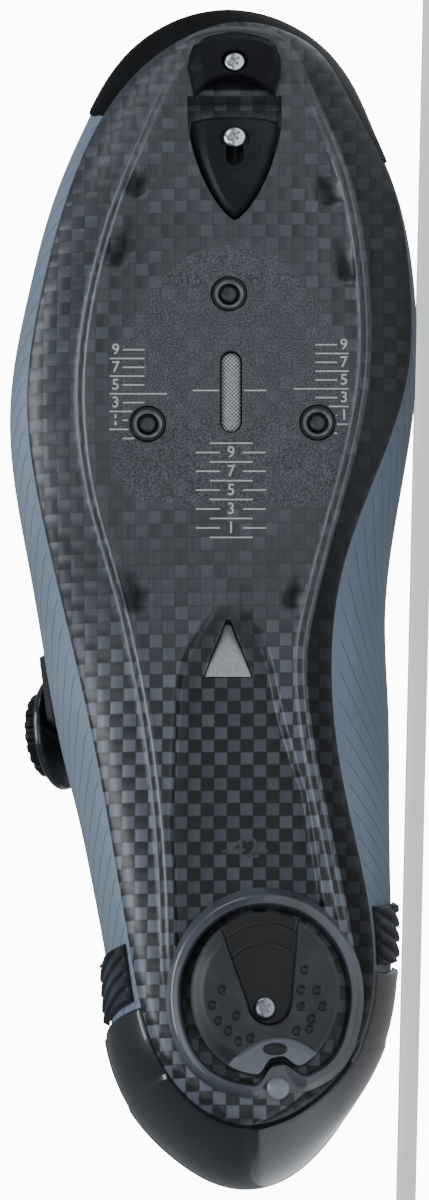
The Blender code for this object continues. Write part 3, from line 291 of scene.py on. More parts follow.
# Materials
class Look:
    """A material's node tree, built with short calls that return output sockets."""

    def __init__(self, name, color, roughness, metallic=0.0, **plain):
        self.material = bpy.data.materials.new(name)
        self.material.use_nodes = True
        self.tree = self.material.node_tree
        self.shader = self.tree.nodes["Principled BSDF"]
        self.set("Base Color", (*color, 1.0))
        self.set("Roughness", roughness)
        self.set("Metallic", metallic)
        for key, value in plain.items():
            self.set(key.replace("_", " "), value)
        self.height = None

    def feed(self, target, value):
        """Links a socket to a node's input, or writes a plain value there."""
        if isinstance(value, bpy.types.NodeSocket):
            self.tree.links.new(value, target)
        else:
            target.default_value = value

    def set(self, socket, value):
        self.feed(self.shader.inputs[socket], value)

    def tint(self, share, first, second):
        self.set("Base Color", self.mix(share, first, second))

    def rough(self, share, low, high):
        self.set("Roughness", self.blend(share, low, high))

    def node(self, kind, **inputs):
        made = self.tree.nodes.new(kind)
        for key, value in inputs.items():
            self.feed(made.inputs[key.replace("_", " ")], value)
        return made

    def math(self, operation, first, second=0.0, third=0.0):
        made = self.tree.nodes.new("ShaderNodeMath")
        made.operation = operation
        for target, value in zip(made.inputs, (first, second, third)):
            self.feed(target, value)
        return made.outputs[0]

    def times(self, first, second):
        return self.math("MULTIPLY", first, second)

    def plus(self, first, second):
        return self.math("ADD", first, second)

    def from_middle(self, value, pitch):
        """Where a value lies between two multiples of the pitch, from -0.5 to 0.5."""
        return self.math("SUBTRACT", self.math("FRACT", self.math("DIVIDE", value, pitch)), 0.5)

    def place(self):
        """Object coordinates, which are the shoe's own, as separate X, Y and Z."""
        made = self.node("ShaderNodeTexCoord")
        self.object = made.outputs["Object"]
        return self.split(self.object)

    def split(self, vector):
        made = self.tree.nodes.new("ShaderNodeSeparateXYZ")
        self.tree.links.new(vector, made.inputs[0])
        return made.outputs

    def attribute(self, name, output="Fac"):
        """A value that a piece's points carry."""
        made = self.tree.nodes.new("ShaderNodeAttribute")
        made.attribute_name = name
        return made.outputs[output]

    def step(self, value, low, high):
        """Smooth step of a value, as a Map Range node."""
        made = self.tree.nodes.new("ShaderNodeMapRange")
        made.interpolation_type = "SMOOTHSTEP"
        self.feed(made.inputs["Value"], value)
        self.feed(made.inputs["From Min"], low)
        self.feed(made.inputs["From Max"], high)
        return made.outputs[0]

    def noise(self, scale, detail, vector=None):
        made = self.node("ShaderNodeTexNoise", Scale=scale, Detail=detail)
        self.tree.links.new(vector or self.object, made.inputs["Vector"])
        return made.outputs[0]

    def cells(self, scale):
        made = self.node("ShaderNodeTexVoronoi", Scale=scale)
        self.tree.links.new(self.object, made.inputs["Vector"])
        return made.outputs["Distance"]

    def mix(self, share, first, second):
        """Colour between two, each a colour or a socket."""
        made = self.tree.nodes.new("ShaderNodeMix")
        made.data_type = "RGBA"
        self.feed(made.inputs[0], share)
        for target, value in zip(made.inputs[6:8], (first, second)):
            self.feed(target, value if isinstance(value, bpy.types.NodeSocket) else (*value, 1.0))
        return made.outputs[2]

    def blend(self, share, first, second):
        """Number between two."""
        made = self.tree.nodes.new("ShaderNodeMix")
        for target, value in zip(made.inputs[:1] + made.inputs[2:4], (share, first, second)):
            self.feed(target, value)
        return made.outputs[0]

    def vector(self, x, y, z=0.0):
        made = self.tree.nodes.new("ShaderNodeCombineXYZ")
        for target, value in zip(made.inputs, (x, y, z)):
            self.feed(target, value)
        return made.outputs[0]

    def bump(self, height, depth, strength):
        """Adds a bump of that depth in metres on top of the ones before it."""
        made = self.node("ShaderNodeBump", Strength=strength, Distance=depth, Height=height)
        if self.height:
            self.tree.links.new(self.height, made.inputs["Normal"])
        self.height = made.outputs[0]
        self.set("Normal", self.height)


def carbon_look():
    """Twill of 3 mm tows under a clear coat, bold in the arch and softer under the ball."""
    tow = 0.0031
    look = Look("clear-coated carbon", (0.03, 0.032, 0.04), 0.38, Coat_Weight=0.3, Coat_Roughness=0.28)
    x, _, z = look.place()
    wave = look.noise(14.0, 1.0)
    drift = look.math("MULTIPLY_ADD", wave, 0.0022, -0.0011)
    u = look.math("DIVIDE", look.plus(x, drift), tow)
    v = look.math("DIVIDE", look.plus(z, look.times(drift, 0.7)), tow)
    cell_u, cell_v = look.math("FLOOR", u), look.math("FLOOR", v)
    odd = look.math("FLOORED_MODULO", look.plus(cell_u, cell_v), 2.0)
    part_u, part_v = look.math("FRACT", u), look.math("FRACT", v)
    edges = [look.math("ABSOLUTE", look.math("SUBTRACT", part, 0.5)) for part in (part_u, part_v)]
    seam = look.step(look.math("MAXIMUM", *edges), 0.40, 0.5)
    per_cell = look.node("ShaderNodeTexWhiteNoise", Vector=look.vector(cell_u, cell_v)).outputs[0]
    # The twill pattern is real, but the paleness of its light tows is painted sheen, standing in for the
    # light that the fibres reflect.
    light_cell = look.mix(per_cell, (0.094, 0.106, 0.142), (0.148, 0.166, 0.208))
    dark_cell = look.mix(per_cell, (0.006, 0.007, 0.012), (0.011, 0.013, 0.020))
    bold = look.mix(odd, dark_cell, light_cell)
    bold = look.mix(look.times(seam, 0.7), bold, (0.014, 0.015, 0.021))
    soft_light = look.mix(per_cell, (0.036, 0.041, 0.052), (0.082, 0.092, 0.112))
    soft = look.mix(look.times(odd, 0.5), soft_light, (0.016, 0.018, 0.025))
    soft = look.mix(look.times(seam, 0.5), soft, (0.018, 0.019, 0.024))
    fore = look.step(x, 0.108, 0.150)
    grip = look.attribute("grip")
    color = look.mix(fore, bold, soft)
    cloudy = look.noise(38.0, 3.0)
    color = look.mix(look.times(cloudy, 0.35), color, (0.030, 0.034, 0.036))
    grit = look.noise(2600.0, 2.0)
    grip_color = look.mix(look.step(grit, 0.38, 0.66), (0.026, 0.029, 0.037), (0.162, 0.170, 0.192))
    color = look.mix(look.times(grip, 0.62), color, grip_color)
    shade = look.attribute("shade")
    # Painted highlight along the ridge crests, full on the outer ridge that faces the key light.
    rail_highlight = look.attribute("rail_highlight")
    color = look.mix(look.times(rail_highlight, 0.85), color, (0.235, 0.258, 0.295))
    # Painted shade: where the sole's points carry shade the carbon turns near black and its coat and specular
    # are dulled, on the inner flange and wall, in the arch recess, the scoops, the crescent under the toe pad
    # and the cut pockets.
    look.tint(look.times(shade, 0.86), color, (0.003, 0.003, 0.004))
    look.set("Coat Weight", look.math("MULTIPLY_ADD", shade, -0.26, 0.3))
    look.set("Specular IOR Level", look.math("MULTIPLY_ADD", shade, -0.35, 0.5))
    dome_u = look.math("SINE", look.times(part_u, math.pi))
    dome_v = look.math("SINE", look.times(part_v, math.pi))
    look.bump(look.blend(odd, dome_u, dome_v), 0.0003, 0.7)
    fibres = [
        look.noise(1.0, 1.0, look.vector(look.times(x, lengthwise), look.times(z, crosswise)))
        for lengthwise, crosswise in ((300.0, 9000.0), (9000.0, 300.0))
    ]
    look.bump(look.blend(odd, *fibres), 0.00003, 0.6)
    look.bump(look.times(grit, grip), 0.0003, 0.9)
    look.rough(grip, look.blend(cloudy, 0.28, 0.5), 0.8)
    return look.material


def microfibre_look():
    """Matte blue-grey microfibre with fine grain, welded slanted lines and punched holes."""
    look = Look("blue-grey microfibre", (0.2, 0.25, 0.3), 0.55, Sheen_Weight=0.12, Sheen_Roughness=0.5)
    look.place()
    along, up_, tall = look.split(look.attribute("skin", "Vector"))
    patchy = look.noise(28.0, 4.0)
    color = look.mix(look.step(patchy, 0.3, 0.75), (0.160, 0.208, 0.275), (0.205, 0.258, 0.332))
    slant = look.plus(along, look.times(up_, 1.15))
    part = look.math("ABSOLUTE", look.from_middle(slant, 0.0062))
    line = look.step(part, 0.465, 0.492)
    body = look.times(look.step(tall, 0.02, 0.05), look.step(tall, 0.86, 0.80))
    line = look.times(line, body)
    color = look.mix(look.times(line, 0.75), color, (0.060, 0.078, 0.098))
    pore_x = look.from_middle(along, 0.0042)
    pore_y = look.from_middle(up_, 0.0042)
    radius = look.math("SQRT", look.plus(look.times(pore_x, pore_x), look.times(pore_y, pore_y)))
    zone = look.attribute("pores")
    pore = look.times(look.step(radius, 0.15, 0.10), look.step(zone, 0.45, 0.55))
    color = look.mix(pore, color, (0.012, 0.014, 0.017))
    dust = look.step(look.noise(160.0, 5.0), 0.62, 0.8)
    color = look.mix(look.times(dust, 0.25), color, (0.33, 0.37, 0.40))
    look.set("Base Color", color)
    look.bump(look.cells(1700.0), 0.00010, 0.35)
    look.bump(look.noise(420.0, 4.0), 0.00018, 0.3)
    look.bump(look.times(look.plus(line, pore), -1.0), 0.0005, 0.8)
    look.rough(look.noise(60.0, 3.0), 0.46, 0.62)
    return look.material


def knit_look(name, dark, light, pitch):
    """Spacer knit: rows of small loops, darker between them."""
    look = Look(name, light, 0.9, Sheen_Weight=0.25, Sheen_Roughness=0.6)
    look.place()
    along, up_, _ = look.split(look.attribute("skin", "Vector"))
    row = look.math("SINE", look.times(along, 2 * math.pi / pitch))
    column = look.math("SINE", look.times(up_, 2 * math.pi / pitch))
    loop = look.math("ABSOLUTE", look.times(row, column))
    shade = look.times(loop, look.plus(look.noise(500.0, 2.0), 0.5))
    look.tint(look.step(shade, 0.05, 0.6), dark, light)
    look.bump(loop, 0.0004, 0.7)
    look.bump(look.noise(1800.0, 2.0), 0.0001, 0.4)
    return look.material


def gloss_look():
    look = Look("black gloss shell", (0.010, 0.0105, 0.012), 0.2, Coat_Weight=1.0, Coat_Roughness=0.04)
    look.place()
    cloud = look.noise(25.0, 3.0)
    look.tint(look.step(cloud, 0.3, 0.8), (0.014, 0.016, 0.021), (0.034, 0.037, 0.047))
    look.rough(look.noise(220.0, 4.0), 0.14, 0.30)
    look.bump(look.noise(55.0, 2.0), 0.00025, 0.12)
    return look.material


def rubber_look(name, color, low=0.5, high=0.68):
    look = Look(name, color, 0.6, Specular_IOR_Level=0.16)
    look.place()
    patch = look.noise(70.0, 4.0)
    bright = tuple(channel * 1.8 + 0.004 for channel in color)
    look.tint(look.step(patch, 0.4, 0.8), color, bright)
    look.rough(patch, low, high)
    look.bump(look.noise(2200.0, 2.0), 0.00008, 0.35)
    return look.material


def metal_look(name, color, low, high):
    look = Look(name, color, low, 1.0)
    look.place()
    scratch = look.noise(900.0, 5.0)
    look.rough(scratch, low, high)
    look.bump(scratch, 0.00004, 0.3)
    return look.material


def vent_look():
    """White woven mesh: the strands carry the attribute strand, the gaps between them are dark."""
    look = Look("white vent mesh", (0.7, 0.7, 0.68), 0.6)
    look.place()
    strand = look.attribute("strand")
    fleck = look.noise(1500.0, 2.0)
    white = look.mix(fleck, (0.30, 0.32, 0.32), (0.66, 0.68, 0.68))
    look.tint(look.step(strand, 0.34, 0.72), (0.030, 0.034, 0.040), white)
    look.bump(fleck, 0.00008, 0.4)
    return look.material


def nut_look():
    """Black rim, a paler ring that is a painted highlight on the raised steel, and a dark plug with a painted
    highlight in its middle, by the distance from the nut's middle.
    """
    look = Look("cleat nut", (0.02, 0.02, 0.022), 0.35, 0.35)
    look.place()
    ring = look.attribute("ring")
    # Painted highlight: a paler band on the raised ring round the bore.
    steel = look.times(look.step(ring, 0.255, 0.270), look.step(ring, 0.352, 0.338))
    grime = look.noise(800.0, 4.0)
    color = look.mix(grime, (0.010, 0.010, 0.012), (0.024, 0.025, 0.028))
    # Painted highlight: the plug grows paler toward the middle of its dome.
    plug = look.mix(look.step(ring, 0.21, 0.10), (0.012, 0.012, 0.014), (0.055, 0.056, 0.062))
    color = look.mix(look.step(ring, 0.235, 0.215), color, plug)
    color = look.mix(steel, color, look.mix(grime, (0.09, 0.095, 0.105), (0.18, 0.186, 0.20)))
    look.set("Base Color", color)
    look.rough(grime, 0.22, 0.42)
    look.bump(grime, 0.00004, 0.4)
    return look.material


def ring_look():
    """Smooth resin ring: dark grey with a cloudy satin clear coat."""
    look = Look("heel ring resin", (0.06, 0.064, 0.076), 0.3, Coat_Weight=0.9, Coat_Roughness=0.09)
    look.place()
    cloud = look.noise(60.0, 4.0)
    look.tint(look.step(cloud, 0.3, 0.7), (0.024, 0.027, 0.036), (0.078, 0.086, 0.112))
    look.rough(look.noise(400.0, 4.0), 0.24, 0.42)
    look.bump(look.noise(900.0, 3.0), 0.00004, 0.3)
    return look.material


def heel_look():
    """Heel pad: black in the valley, worn dark rubber on the treads with painted shade in its dimples, and a
    paler smooth heel edge that is painted sheen.
    """
    look = Look("heel pad rubber", (0.03, 0.031, 0.036), 0.45)
    look.place()
    tone_and_painted_light = look.attribute("tone_and_painted_light")
    scuff = look.noise(130.0, 5.0)
    tread = look.mix(look.step(scuff, 0.35, 0.8), (0.018, 0.020, 0.026), (0.040, 0.043, 0.052))
    color = look.mix(look.step(tone_and_painted_light, 0.08, 0.42), (0.0045, 0.0045, 0.005), tread)
    # Painted sheen: the smooth heel edge is drawn paler, standing in for the light it reflects.
    pale = look.mix(scuff, (0.110, 0.120, 0.150), (0.165, 0.178, 0.215))
    look.tint(look.step(tone_and_painted_light, 0.60, 0.95), color, pale)
    look.rough(look.step(tone_and_painted_light, 0.1, 0.4), 0.30, 0.50)
    look.bump(look.noise(1500.0, 3.0), 0.00006, 0.35)
    return look.material


def strap_look():
    """Black satin strap with a fine diagonal twill and scuffed patches."""
    look = Look("black strap twill", (0.018, 0.019, 0.021), 0.55)
    look.place()
    along, across, _ = look.split(look.attribute("skin", "Vector"))
    twill = look.math("SINE", look.times(look.plus(along, across), 2 * math.pi / 0.00085))
    thread = look.math("SINE", look.times(across, 2 * math.pi / 0.00060))
    weave = look.times(look.plus(twill, 1.0), look.plus(thread, 1.2))
    scuff = look.noise(90.0, 5.0)
    color = look.mix(look.step(scuff, 0.4, 0.75), (0.014, 0.015, 0.017), (0.032, 0.034, 0.038))
    look.tint(look.step(weave, 0.0, 3.2), (0.006, 0.006, 0.007), color)
    look.rough(scuff, 0.42, 0.62)
    look.bump(weave, 0.00012, 0.45)
    return look.material


def stay_look():
    """Welded eyestay film, a shade darker than the microfibre, with fine grain."""
    look = Look("eyestay film", (0.12, 0.15, 0.18), 0.5)
    look.place()
    patch = look.noise(45.0, 4.0)
    look.tint(look.step(patch, 0.3, 0.75), (0.080, 0.106, 0.140), (0.118, 0.150, 0.192))
    look.rough(look.noise(200.0, 3.0), 0.40, 0.56)
    look.bump(look.cells(2400.0), 0.00006, 0.35)
    return look.material


def plain_look(name, color, roughness, fleck=0.1):
    look = Look(name, color, roughness)
    look.place()
    darker = tuple(channel * (1 - fleck) for channel in color)
    look.tint(look.noise(700.0, 3.0), darker, color)
    look.bump(look.noise(1500.0, 2.0), 0.00004, 0.3)
    return look.material


CARBON = carbon_look()
SKIN = microfibre_look()
LINING = knit_look("black spacer knit", (0.006, 0.006, 0.007), (0.040, 0.041, 0.046), 0.0016)
TONGUE = knit_look("grey tongue knit", (0.012, 0.013, 0.015), (0.085, 0.095, 0.105), 0.0022)
GLOSS = gloss_look()
RUBBER = rubber_look("black rubber", (0.0040, 0.0045, 0.0060))
RIVET = plain_look("pale rivet", (0.27, 0.29, 0.33), 0.28, 0.3)
CLIP = rubber_look("ribbed clip", (0.036, 0.040, 0.049), 0.22, 0.36)
TOE_RUBBER = rubber_look("toe guard", (0.0030, 0.0034, 0.0045), 0.42, 0.58)
SATIN = rubber_look("satin black plastic", (0.012, 0.013, 0.016), 0.30, 0.42)
GREY = rubber_look("satin grey plastic", (0.11, 0.118, 0.13), 0.35, 0.5)
BRIGHT = metal_look("bright screw steel", (0.72, 0.74, 0.76), 0.16, 0.34)
DARK_METAL = metal_look("dull screw steel", (0.34, 0.36, 0.39), 0.2, 0.4)
PAINT = plain_look("white pad print", (0.55, 0.57, 0.58), 0.5, 0.25)
THREAD = plain_look("grey thread", (0.10, 0.12, 0.135), 0.75, 0.4)
VENT = vent_look()
NUT = nut_look()
RING_LOOK = ring_look()
HEEL_LOOK = heel_look()
STRAP = strap_look()
FAINT = plain_look("faint grey print", (0.060, 0.063, 0.072), 0.5, 0.4)
INSOLE_LOOK = knit_look("dark insole cloth", (0.010, 0.010, 0.011), (0.055, 0.057, 0.062), 0.0011)
STAY = stay_look()


# Meshes
HERE = Matrix.Identity(4)
# Painted shade for the faces that cuts leave, so pockets and bores look dark.
CUT_SHADE = 0.95


def grid_faces(rows, columns, start=0, wrap_rows=False, wrap_columns=False, flip=False):
    """Corner numbers of the quads of a grid whose points are stored row by row."""
    r = np.arange(rows if wrap_rows else rows - 1)[:, None]
    c = np.arange(columns if wrap_columns else columns - 1)[None, :]
    next_r, next_c = (r + 1) % rows, (c + 1) % columns
    corners = [r * columns + c, next_r * columns + c, next_r * columns + next_c, r * columns + next_c]
    quads = np.stack([np.broadcast_to(k, (len(r), c.shape[1])) for k in corners], axis=-1).reshape(-1, 4)
    return start + (quads[:, ::-1] if flip else quads)


def piece(name, points, faces, look, node=None, fields=None, **options):
    """A piece from points in metres, with fields of one value or vector for each point."""
    mesh = bpy.data.meshes.new(name)
    corners = np.asarray(points, float).reshape(-1, 3).tolist()
    mesh.from_pydata(corners, [], [list(map(int, face)) for face in faces])
    for key, values in (fields or {}).items():
        values = np.asarray(values, float)
        kind, part = ("FLOAT_VECTOR", "vector") if values.ndim == 2 else ("FLOAT", "value")
        mesh.attributes.new(key, kind, "POINT").data.foreach_set(part, values.ravel())
    build = bmesh.new()
    build.from_mesh(mesh)
    bmesh.ops.remove_doubles(build, verts=build.verts, dist=2e-6)
    bmesh.ops.dissolve_degenerate(build, edges=build.edges, dist=1e-7)
    bmesh.ops.recalc_face_normals(build, faces=build.faces)
    build.to_mesh(mesh)
    build.free()
    return dress(name, mesh, look, node, **options)


def shade(mesh, angle):
    """Smooth shading, apart from edges that turn by more than an angle in degrees."""
    mesh.shade_smooth()
    mesh.set_sharp_from_angle(angle=math.radians(angle))


def dress(name, mesh, look, node=None, body="shoe", slot=None, place=HERE, angle=40):
    """An object from a mesh, with its looks, place in the shoe's frame, body and CAD node; slot is not used.
    """
    for one in look if isinstance(look, list) else [look]:
        mesh.materials.append(one)
    shade(mesh, angle)
    made = bpy.data.objects.new(name, mesh)
    bpy.context.scene.collection.objects.link(made)
    made.matrix_world = SHOE @ place
    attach(made, body)
    if node:
        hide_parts(node)
    return made


def shell_faces(rows, columns, wrap_rows=False):
    """Faces of a closed shell between two grids that are stored one after the other."""
    count = rows * columns
    outer = grid_faces(rows, columns, wrap_rows=wrap_rows)
    inner = grid_faces(rows, columns, start=count, wrap_rows=wrap_rows, flip=True)
    rims = []
    r = np.arange(rows if wrap_rows else rows - 1)
    n = (r + 1) % rows
    for c, turned in ((0, True), (columns - 1, False)):
        a, b = r * columns + c, n * columns + c
        quad = np.stack([a, b, count + b, count + a], axis=-1)
        rims.append(quad[:, ::-1] if turned else quad)
    if not wrap_rows:
        c = np.arange(columns - 1)
        for row, turned in ((0, False), (rows - 1, True)):
            a = row * columns + c
            quad = np.stack([a, a + 1, count + a + 1, count + a], axis=-1)
            rims.append(quad[:, ::-1] if turned else quad)
    return np.concatenate([outer, inner, *rims])


def prism(outline, low, high):
    """A closed mesh from an outline in X and Z between two heights in Y, for cutting."""
    build = bmesh.new()
    face = build.faces.new([build.verts.new((x, low, z)) for x, z in outline])
    grown = bmesh.ops.extrude_face_region(build, geom=[face])["geom"]
    moved = [item for item in grown if isinstance(item, bmesh.types.BMVert)]
    bmesh.ops.translate(build, verts=moved, vec=(0.0, high - low, 0.0))
    bmesh.ops.recalc_face_normals(build, faces=build.faces)
    mesh = bpy.data.meshes.new("cutter")
    build.to_mesh(mesh)
    build.free()
    # Painted shade: the faces that this cutter leaves are drawn dark.
    dark = np.full(len(mesh.vertices), CUT_SHADE)
    mesh.attributes.new("shade", "FLOAT", "POINT").data.foreach_set("value", dark)
    return mesh


def carve(target, cutters, angle):
    """Cuts a list of (mesh, matrix in the shoe's frame) out of a piece, and shades what is left."""
    holder = bpy.data.collections.new(f"{target.name} cutters")
    bpy.context.scene.collection.children.link(holder)
    for k, (mesh, place) in enumerate(cutters):
        tool = bpy.data.objects.new(f"cutter {k}", mesh)
        holder.objects.link(tool)
        tool.matrix_world = SHOE @ place
    modifier = target.modifiers.new("cuts", "BOOLEAN")
    modifier.operand_type = "COLLECTION"
    modifier.collection = holder
    modifier.solver = "EXACT"
    bpy.context.view_layer.update()
    evaluated = target.evaluated_get(bpy.context.evaluated_depsgraph_get())
    result = bpy.data.meshes.new_from_object(evaluated)
    target.modifiers.clear()
    target.data = result
    for tool in list(holder.objects):
        bpy.data.objects.remove(tool)
    bpy.data.collections.remove(holder)
    shade(target.data, angle)


def full_turn(count):
    """Angles evenly spaced once round, from 0."""
    return np.arange(count) * 2 * math.pi / count


def stadium(center, length, width, count):
    """Points of a slot's outline with straight sides and round ends."""
    turns = [2 * math.pi * (k + 0.5) / count for k in range(count)]
    half = (length - width) / 2
    return [(center[0] + math.copysign(half, math.cos(a)) + width / 2 * math.cos(a),
             center[1] + width / 2 * math.sin(a)) for a in turns]


def oval(center, length, width, count):
    turns = full_turn(count)
    return [(center[0] + length / 2 * math.cos(a), center[1] + width / 2 * math.sin(a)) for a in turns]


def turned(profile, center, count):
    """Points and faces of a turned body: profile is (radius, height) pairs along Y round a centre."""
    profile = np.array(profile)
    turns = full_turn(count)
    x = center[0] + profile[None, :, 0] * np.cos(turns)[:, None]
    z = center[1] + profile[None, :, 0] * np.sin(turns)[:, None]
    y = np.broadcast_to(profile[None, :, 1], x.shape)
    return np.stack([x, y, z], axis=-1), grid_faces(count, len(profile), wrap_rows=True)


def lengths(points, axis=0):
    """Running length along one axis of a line or grid of points, from 0."""
    steps = np.linalg.norm(np.diff(points, axis=axis), axis=-1).cumsum(axis=axis)
    return np.concatenate([np.zeros_like(steps.take([0], axis=axis)), steps], axis=axis)


# Sole: the tread in fine steps, with its paired ridges, arch recess and small scoops
STATIONS = 380
FLANGE = np.linspace(1.0, 0.0, 15)
CREST = np.linspace(-1.0, 1.0, 15)
FIELD = np.linspace(0.0, 1.0, 15)
BANK = np.linspace(0.0, 1.0, 7)
WALL_STEPS = 4
SOLE_SHARP = 50

# Scoops beside the ridges: middle along and across, length, width, depth, turn, all in millimetres
SCOOPS = (
    ("outer toe", 238.5, 23.6, 12.0, 6.4, 1.7, -28.0),
    ("outer ball", 222.5, 27.8, 15.0, 6.8, 1.8, -22.0),
    ("outer arch", 140.5, 26.2, 13.0, 7.4, 1.6, 24.0),
    ("inner toe", 237.0, -19.6, 13.0, 6.6, 1.8, 22.0),
    ("inner ball", 219.0, -23.6, 15.0, 6.2, 1.8, 18.0),
    ("inner arch", 140.5, -12.6, 11.0, 5.6, 1.6, -14.0),
)


def scoops(x, z):
    """How far the scoops press the tread in: each falls off steeply at its heel end."""
    total = np.zeros_like(x)
    for _, along, across, length, width, depth, turn in SCOOPS:
        a, b = x * 1000 - along, z * 1000 - across
        c, s = math.cos(math.radians(turn)), math.sin(math.radians(turn))
        u = (a * c + b * s) / (length / 2)
        taper = 0.30 + 0.70 * ramp(1.0, -0.7, u) * np.sqrt(np.clip(1 - np.clip(-u, 0, 1) ** 3, 0.02, 1))
        v = (b * c - a * s) / (width / 2) / taper
        side = np.clip(1 - v * v, 0, 1) ** 0.9
        run = ramp(1.0, -0.5, u) * ramp(-1.05, -0.70, u)
        total += depth / 1000 * side * run
    return total


# Middle of the grip field's outline in millimetres, round from the outer front corner
GRIP_OUTLINE = (
    (210, 22), (203, 25.2), (196, 28.8), (184, 30.9), (172, 30.4), (164, 28.6), (159.8, 24.5), (158.4, 12),
    (158.4, -12), (159.2, -21), (164, -23.8), (176, -25.6), (188, -25.8), (199, -24.0), (210, -17), (219, -9),
    (222.5, 1), (218.5, 13),
)


def inside(outline, x, z):
    """Signed distance to a polygon's edge, positive inside."""
    ring = np.array(outline) / 1000
    best = np.full(x.shape, 1e9)
    held = np.zeros(x.shape, bool)
    for (ax, az), (bx, bz) in zip(ring, np.roll(ring, -1, axis=0)):
        ex, ez = bx - ax, bz - az
        t = np.clip(((x - ax) * ex + (z - az) * ez) / (ex * ex + ez * ez), 0, 1)
        best = np.minimum(best, np.hypot(x - ax - t * ex, z - az - t * ez))
        crosses = ((az > z) != (bz > z)) & (x < (bx - ax) * (z - az) / (bz - az + 1e-12) + ax)
        held ^= crosses
    return np.where(held, best, -best)


def tread_row(share):
    """Points across the tread at one station, from the outer edge to the inner edge, as (Y, Z)."""
    row = {name: float(at(share)) for name, at in SOLE_AT.items()}
    outer, inner = float(half_width(share, +1)), float(half_width(share, -1))
    span = outer - inner
    middle = min(max(0.0, inner + 0.3 * span), inner + 0.7 * span)
    rib_out = middle + row["rib_out"] * (outer - middle)
    rib_in = middle + row["rib_in"] * (inner - middle)
    bottom = float(sole_bottom(share))
    lift = row["lift"] * INSTEP_HEIGHT
    floor = max(row["well"], 0.0) * INSTEP_HEIGHT
    half = RIB_WIDTH / 2 * min(1.0, span / (0.35 * BALL_WIDTH))
    well_out = min(row["well_out"] * BALL_WIDTH, middle + 0.8 * (rib_out - middle))
    well_in = max(row["well_in"] * BALL_WIDTH, middle + 0.8 * (rib_in - middle))
    bank = min(WELL_BANK, 0.4 * (rib_out - well_out), 0.4 * (well_in - rib_in))
    flange = bottom + lift * (0.10 + 0.25 * FLANGE + 0.65 * FLANGE**3)
    twin = mound(np.abs(CREST), 0.52, 0.26)
    crest = bottom + 0.10 * lift * (1 - ramp(-1, 1, CREST)) - max(row["rib"], 0.0) * RIB_HEIGHT * (
        0.35 * ramp(1.0, 0.7, np.abs(CREST)) + 0.65 * twin
    )
    flat = np.full_like(FIELD, bottom)
    bank_y = bottom + floor * ramp(0, 1, BANK)
    z = np.concatenate([
        rib_out + half + (outer - rib_out - half) * FLANGE,
        (rib_out - CREST * half)[1:],
        (rib_out - half + (well_out + bank - rib_out + half) * FIELD)[1:],
        (well_out + bank - bank * BANK)[1:],
        (well_out + (well_in - well_out) * FIELD)[1:],
        (well_in - bank * BANK)[1:],
        (well_in - bank + (rib_in + half - well_in + bank) * FIELD)[1:],
        (rib_in - CREST * half)[1:],
        (rib_in - half + (inner - rib_in + half) * FLANGE[::-1])[1:],
    ])
    y = np.concatenate([
        flange, crest[1:], flat[1:], bank_y[1:], (flat + floor)[1:], bank_y[::-1][1:], flat[1:],
        crest[::-1][1:], flange[::-1][1:],
    ])
    taper = min(1.0, span / (0.30 * BALL_WIDTH)) ** 0.5
    edge = bottom + lift
    return edge + (y - edge) * taper, z


def toe_frame():
    """The toe plate's frame, which lies on the tread and follows the toe spring."""
    share, side = 0.896, 0.013
    ahead, behind = 0.055, 0.080
    fall = float(sole_bottom(share + ahead) - sole_bottom(share - behind))
    slope = math.atan2(fall, (ahead + behind) * LENGTH)
    place = Matrix.Translation((share * LENGTH, float(sole_bottom(share)), side * BALL_WIDTH))
    return place @ Matrix.Rotation(slope, 4, "Z")


TOE = toe_frame()
NUTS = {
    "front": (0.737 * LENGTH, 0.028 * BALL_WIDTH),
    "outer": (0.627 * LENGTH, 0.236 * BALL_WIDTH),
    "inner": (0.628 * LENGTH, -0.198 * BALL_WIDTH),
}
NUT_BORE = 2 * (0.0041 + 0.0002)
NUT_DEPTH = 0.0028
BALL_VENT = (0.654 * LENGTH, 0.023 * BALL_WIDTH)
ARCH_VENT = (ARCH_SHARE * LENGTH, 0.030 * BALL_WIDTH)
MESH_SINK = 0.0014
MESH_THICKNESS = 0.0008
BALL_VENT_LENGTH, BALL_VENT_WIDTH = 0.069 * LENGTH, 0.057 * BALL_WIDTH
SLIDER_LENGTH, SLIDER_WIDTH, SLIDER_BOW, SLIDER_FULLNESS = 0.0268, 0.0208, 1.7, 0.72
SLIDER_CLEARANCE = 0.0009
SLIDER_HEIGHT = 0.0044
SLIDER_TRAVEL = 0.0050
TOE_MOUTH = 0.0057
TOE_POCKET_DEPTH = 0.0042
SCREW_SLOT_PLACE = -0.0064
SLOT_WIDTH = 0.0042
PAD_LENGTH, PAD_WIDTH, PAD_SINK = 0.0173, 0.0216, 0.0008
RING_LENGTH, RING_WIDTH, RING_BAND = 0.162 * LENGTH, 0.467 * BALL_WIDTH, 0.0030
HEEL_LEVEL = float(sole_bottom(RING_SHARE))
POCKET_DEPTH = 0.0020
VENT_DEPTH = 0.0030
OUTSIDE = -0.006


def wedge(grow, ahead):
    """The shutter's outline, grown by a clearance: a straight front and bowed sides to a round tip."""
    half = SLIDER_WIDTH / 2 + grow
    length = SLIDER_LENGTH + grow
    turns = np.linspace(math.pi / 2, -math.pi / 2, 61)
    share = np.cos(turns)
    bow = list(zip(-length * share, np.sign(turns) * half * (1 - share**SLIDER_BOW) ** SLIDER_FULLNESS))
    return [(ahead, -half), (ahead, half), *bow]


def vent_triangle(shrink):
    """Outline of the arch vent, apex to the toe, drawn in by shrink."""
    x, z = ARCH_VENT
    length, width = 0.0475 * LENGTH, 0.128 * BALL_WIDTH
    ahead = length / 2 - 2.4 * shrink
    behind = -length / 2 + shrink
    half = width / 2 - 1.4 * shrink
    return [
        (x + ahead, z + 0.10 * half), (x + ahead, z - 0.10 * half), (x + 0.4 * behind, z - 0.75 * half),
        (x + behind, z - half), (x + behind, z + half), (x + 0.4 * behind, z + 0.75 * half),
    ]


